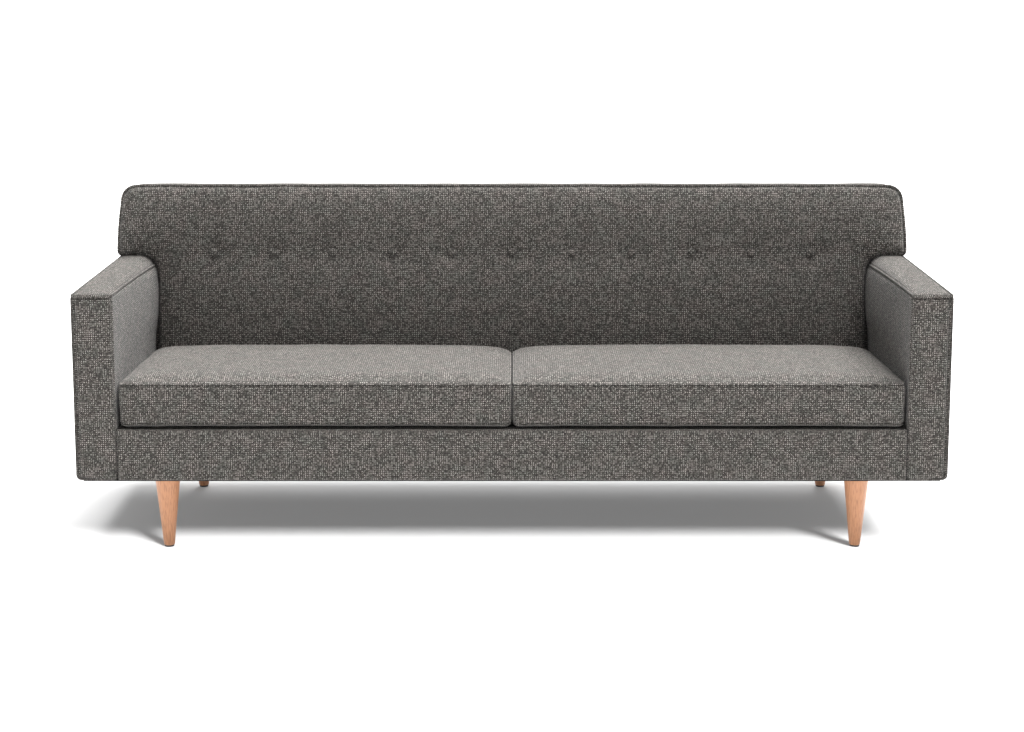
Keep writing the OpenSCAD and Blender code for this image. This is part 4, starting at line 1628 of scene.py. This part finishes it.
@dataclass
class Body(Upholstery):
    """The fixed cloth below and behind: front panel, outside back, deck and dust cloth."""

    unevenness: float = 0.0009
    staple: tuple = (0.0105, 0.0011, 0.0007)
    staple_inset: float = 0.012
    staple_pitch: float = 0.062

    def panel(self, name: str, low: Vector, high: Vector, radius: Vector, crown: Sequence[tuple], node: Sequence[str],
              turn: Matrix = Matrix(), bend: Optional[Callable[[float, float], float]] = None) -> None:
        """Make a padded panel.

        Args:
            name: its name.
            low: lowest corner.
            high: highest corner.
            radius: softness of its edges along each axis.
            crown: how far each side rises.
            node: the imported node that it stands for.
            turn: from the panel's own frame to the sofa's.
            bend: gives the place across of a point from its own x and z.
        """
        edges = [tuple(radius[i] * t for t in (0.3, 0.65, 1.0, 2.0)) for i in range(3)]
        rows = [spread(low[i], high[i], 0.03, edges[i] if high[i] - low[i] > 0.03 else edges[i][:2]) for i in range(3)]
        bm = block(low, high, rows)
        lay_cloth(bm, 0.53)
        round_off(bm, low, high, lambda point: radius)
        swell(bm, low, high, crown, 0.01)
        ruffle(bm, self.unevenness, 0.13, 11.0)
        if bend is not None:
            for v in bm.verts:
                v.co.x = bend(v.co.x, v.co.z)
        bmesh.ops.transform(bm, verts=bm.verts, matrix=turn)
        piece = finish_mesh(bm, name)
        refine(piece)
        self.keep(piece, "root", node)

    def build(self, back: Back) -> list:
        """Make each panel.

        Args:
            back: the back, whose lean the upper rear panel follows.

        Returns:
            The pieces.
        """
        low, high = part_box("front_panel_cover")
        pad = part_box("front_panel_pad")[1]
        self.panel("front_rail_upholstery", Vector((low.x + 0.0004, low.y + 0.0002, low.z + 0.0005)),
                   Vector((high.x - 0.0004, pad.y + 0.002, high.z)), Vector((0.004, 0.006, 0.007)),
                   [(0, 0), (0.0022, 0), (0, 0)], ["front_panel_cover"])
        inset = Vector((0.004, 0.004, 0.004))
        self.filling("front_rail_padding", low + inset, Vector((high.x, pad.y, high.z)) - inset, 0.004, 0.0, "root",
                     "front_panel_pad")
        low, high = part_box("outside_back")
        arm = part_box("right_arm_cover")[1]
        self.panel("outside_back_lower", Vector((low.x + 0.0072, arm.y - 0.004, low.z - 0.001)),
                   Vector((high.x - 0.0072, arm.y + 0.003, arm.z - 0.001)), Vector((0.004, 0.003, 0.004)),
                   [(0, 0), (0, 0.006), (0, 0)], ["outside_back"])
        self.deck()
        self.dust()
        self.panel("outside_back_upper", Vector((-back.half + 0.003, back.deep - 0.006, 0.026)),
                   Vector((back.half - 0.003, back.deep + 0.0032, back.top - 0.003)), Vector((0.045, 0.003, 0.045)),
                   [(0, 0), (0, 0.003), (0, 0)], [], back.turn, back.taper)
        return self.made

    def cloth(self, name: str, low: Vector, high: Vector, drop: Callable[[Vector], float], node: str,
              turn: Matrix = Matrix()) -> bpy.types.Object:
        """Make a thin sheet that is stapled down round its edge.

        Args:
            name: its name.
            low: lowest corner.
            high: highest corner.
            drop: how far it hangs down at a place.
            node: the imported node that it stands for.
            turn: from its own frame to the sofa's.

        Returns:
            The sheet.
        """
        bm = block(low, high, [spread(low.x, high.x, 0.03, (0.006,)), spread(low.y, high.y, 0.03, (0.006,)), []])
        lay_cloth(bm, 0.19)
        for v in bm.verts:
            v.co.z -= drop(v.co)
        bmesh.ops.transform(bm, verts=bm.verts, matrix=turn)
        piece = finish_mesh(bm, name)
        self.keep(piece, "root", [node], self.finishes.slot_of(node))
        return piece

    def deck(self) -> None:
        """The cloth and the pad that the loose cushions lie on."""
        box_low, box_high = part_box("deck_cloth")
        seat = SeatCushion(self.finishes)
        wide = box_high.x - 0.0005
        near = box_low.y - seat.front
        far = near + (box_high.y - box_low.y) - 0.001
        over = near - 0.0265
        self.filling("deck_padding", Vector((-wide, near, -0.0138)), Vector((wide, far, -0.0034)), 0.0035, 0.0, "root",
                     "deck_pad", self.finishes.slot_of("deck_pad"), seat.turn)

        def ripple(point: Vector) -> float:
            """Slight waves of a cloth pulled over its pad."""
            return 0.0005 + 0.0005 * noise.noise(Vector((point.x * 5, point.y * 14, 0.7)))

        sheet = self.cloth("deck_cloth_sheet", Vector((-wide, over, -0.0020)), Vector((wide, far, -0.0010)), ripple,
                           "deck_cloth", seat.turn)

    def dust(self) -> None:
        """The dust cloth under the seat and the staples that hold it."""
        low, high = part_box("dust_cover")
        legs = [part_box(f"{end}_{side.word}_leg") for end in ("front", "rear") for side in Side]
        feet = [(a + b) / 2 for a, b in legs]

        def sag(point: Vector) -> float:
            """Sag between the rails, none at the edge or at a leg."""
            inner = min(point.x - low.x, high.x - point.x, point.y - low.y, high.y - point.y)
            leg = min(math.hypot(point.x - f.x, point.y - f.y) for f in feet)
            hold = (1 - math.exp(-(max(0.0, leg - 0.036) / 0.07) ** 2)) * min(1.0, max(0.0, inner - 0.03) / 0.12) ** 1.5
            return hold * (0.0030 + 0.0014 * noise.noise(Vector((point.x * 4, point.y * 9, 2.2))))

        sheet = self.cloth("dust_cloth_sheet", Vector((low.x, low.y, low.z + 0.0002)), Vector((high.x, high.y, high.z)),
                           sag, "dust_cover")
        bm = bmesh.new()
        wide, deep = high.x - low.x - 2 * self.staple_inset, high.y - low.y - 2 * self.staple_inset
        for across, length, other in ((0, wide, deep), (1, deep, wide)):
            count = round(length / self.staple_pitch)
            for i in range(count):
                for end in (-1, 1):
                    lean = 0.25 * noise.noise(Vector((i * 0.71, end * 3.3, across * 9.1))) + across * math.pi / 2
                    along = -length / 2 + length * (i + 0.5) / count
                    x, y = (along, end * other / 2) if across == 0 else (end * other / 2, along)
                    brick(bm, self.staple, (x, y + (low.y + high.y) / 2, low.z - 0.0001), lean)
        bmesh.ops.bevel(bm, geom=bm.edges[:], offset=0.00025, segments=2, affect="EDGES", profile=0.5, material=-1)
        lay_cloth(bm)
        self.keep(finish_mesh(bm, "dust_cloth_staples"), "root", [], "steel")


@dataclass
class Legs(Upholstery):
    """Four turned, tapered legs."""

    steps: int = 48
    foot: float = 0.014

    def build(self) -> list:
        """Turn each leg.

        Returns:
            The legs.
        """
        for name in ("front_left_leg", "front_right_leg", "rear_left_leg", "rear_right_leg"):
            low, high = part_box(name)
            middle, r = (low + high) / 2, (high.x - low.x) / 2
            foot, height = self.foot, high.z - low.z
            profile = [(0.0, 0.0), (foot - 0.0022, 0.0), (foot - 0.0006, 0.0006), (foot, 0.0024)]
            profile += [(foot + (r - foot) * (t ** 1.04), 0.0024 + (height - 0.0048) * t)
                        for t in (0.06, 0.2, 0.4, 0.6, 0.8, 0.94, 1.0)]
            profile += [(r - 0.0008, height - 0.0006), (r - 0.0026, height), (0.0, height)]
            bm = bmesh.new()
            lathe(bm, profile, 2, self.steps, Vector((middle.x, middle.y, low.z)))
            leg = finish_mesh(bm, name.replace("_leg", "_turned_leg"))
            refine(leg)
            self.keep(leg, "root", [name], "leg_wood")
        return self.made


# ---------- studio ----------


@dataclass(frozen=True)
class Studio:
    """Camera, pale floor and soft light."""

    eye: tuple = (0.0, -5.1675, 1.4737)
    pitch: float = 9.0
    lens: float = 69.9
    sensor: float = 36.0
    shift: float = -0.0955
    floor_shade: tuple = (0.42, 0.42, 0.42)
    sky: float = 0.56
    key: float = 11.0
    key_from: tuple = (0.24, 0.21, 0.95)
    key_spread: float = 50.0
    glow: float = 0.155
    fills: tuple = (((0.46, -0.633, 0.6225), 10.0, 16.0), ((0.10, 0.66, 0.74), 4.2, 34.0))

    def build(self) -> None:
        """Set up the studio."""
        scene = bpy.context.scene
        scene.view_settings.view_transform = "Standard"
        lens = bpy.data.cameras.new("camera")
        lens.lens, lens.sensor_width, lens.shift_y = self.lens, self.sensor, self.shift
        camera = bpy.data.objects.new("camera", lens)
        camera.location = self.eye
        camera.rotation_euler = (math.radians(90 - self.pitch), 0, 0)
        scene.collection.objects.link(camera)
        scene.camera = camera
        world = bpy.data.worlds.new("studio")
        scene.world = world
        world.use_nodes = True
        w = Wiring(world.node_tree)
        world.node_tree.nodes.clear()
        seen = w.add("LightPath").outputs["Is Camera Ray"]
        strength = w.add("Mix", {0: seen, 2: self.sky, 3: 1.0}).outputs[0]
        light = w.add("Background", {"Color": (1, 1, 1), "Strength": strength})
        world.node_tree.links.new(light.outputs[0], w.add("OutputWorld").inputs[0])
        sun = bpy.data.lights.new("key", "SUN")
        sun.energy, sun.angle = self.key, math.radians(self.key_spread)
        key = bpy.data.objects.new("key", sun)
        key.rotation_euler = Vector(self.key_from).to_track_quat("Z", "Y").to_euler()
        scene.collection.objects.link(key)
        bm = bmesh.new()
        bmesh.ops.create_grid(bm, x_segments=1, y_segments=1, size=60.0)
        floor = finish_mesh(bm, "floor", recalculate=False)
        paint = bpy.data.materials.new("pale_floor")
        paint.use_nodes = True
        shader = paint.node_tree.nodes["Principled BSDF"]
        wp = Wiring(paint.node_tree)
        cloud = wp.add("TexNoise", {"Vector": wp.add("TexCoord").outputs["Object"], "Scale": 1.5}).outputs[0]
        wp.put(shader.inputs["Base Color"], wp.ramp(cloud, [(0.3, self.floor_shade),
                                                            (0.7, shade(self.floor_shade, 0.985))]))
        shader.inputs["Roughness"].default_value = 0.95
        shader.inputs["Emission Color"].default_value = (1, 1, 1, 1)
        shader.inputs["Emission Strength"].default_value = self.glow
        shader.inputs["Specular IOR Level"].default_value = 0.0
        floor.data.materials.append(paint)
        lit = bpy.data.collections.new("floor_light")
        lit.objects.link(floor)
        for number, (source, energy, wide) in enumerate(self.fills):
            fill = bpy.data.lights.new(f"floor_fill_{number}", "SUN")
            fill.energy, fill.angle = energy, math.radians(wide)
            lamp = bpy.data.objects.new(fill.name, fill)
            lamp.rotation_euler = Vector(source).to_track_quat("Z", "Y").to_euler()
            lamp.light_linking.receiver_collection = lit
            scene.collection.objects.link(lamp)


def main() -> None:
    """Build the studio, the finishes and each part of the sofa."""
    logging.basicConfig(level=logging.INFO, format="%(message)s")
    Studio().build()
    finishes = Finishes()
    finishes.dress_frame()
    back = Back(finishes)
    made = back.build()
    made += Body(finishes).build(back)
    for side in Side:
        made += Arm(finishes, side=side).build()
    made += SeatCushions(finishes).build()
    made += Legs(finishes).build()
    for piece in made:
        log.info("%s: %d faces", piece.name, len(piece.data.polygons))


if __name__ == "__main__":
    main()
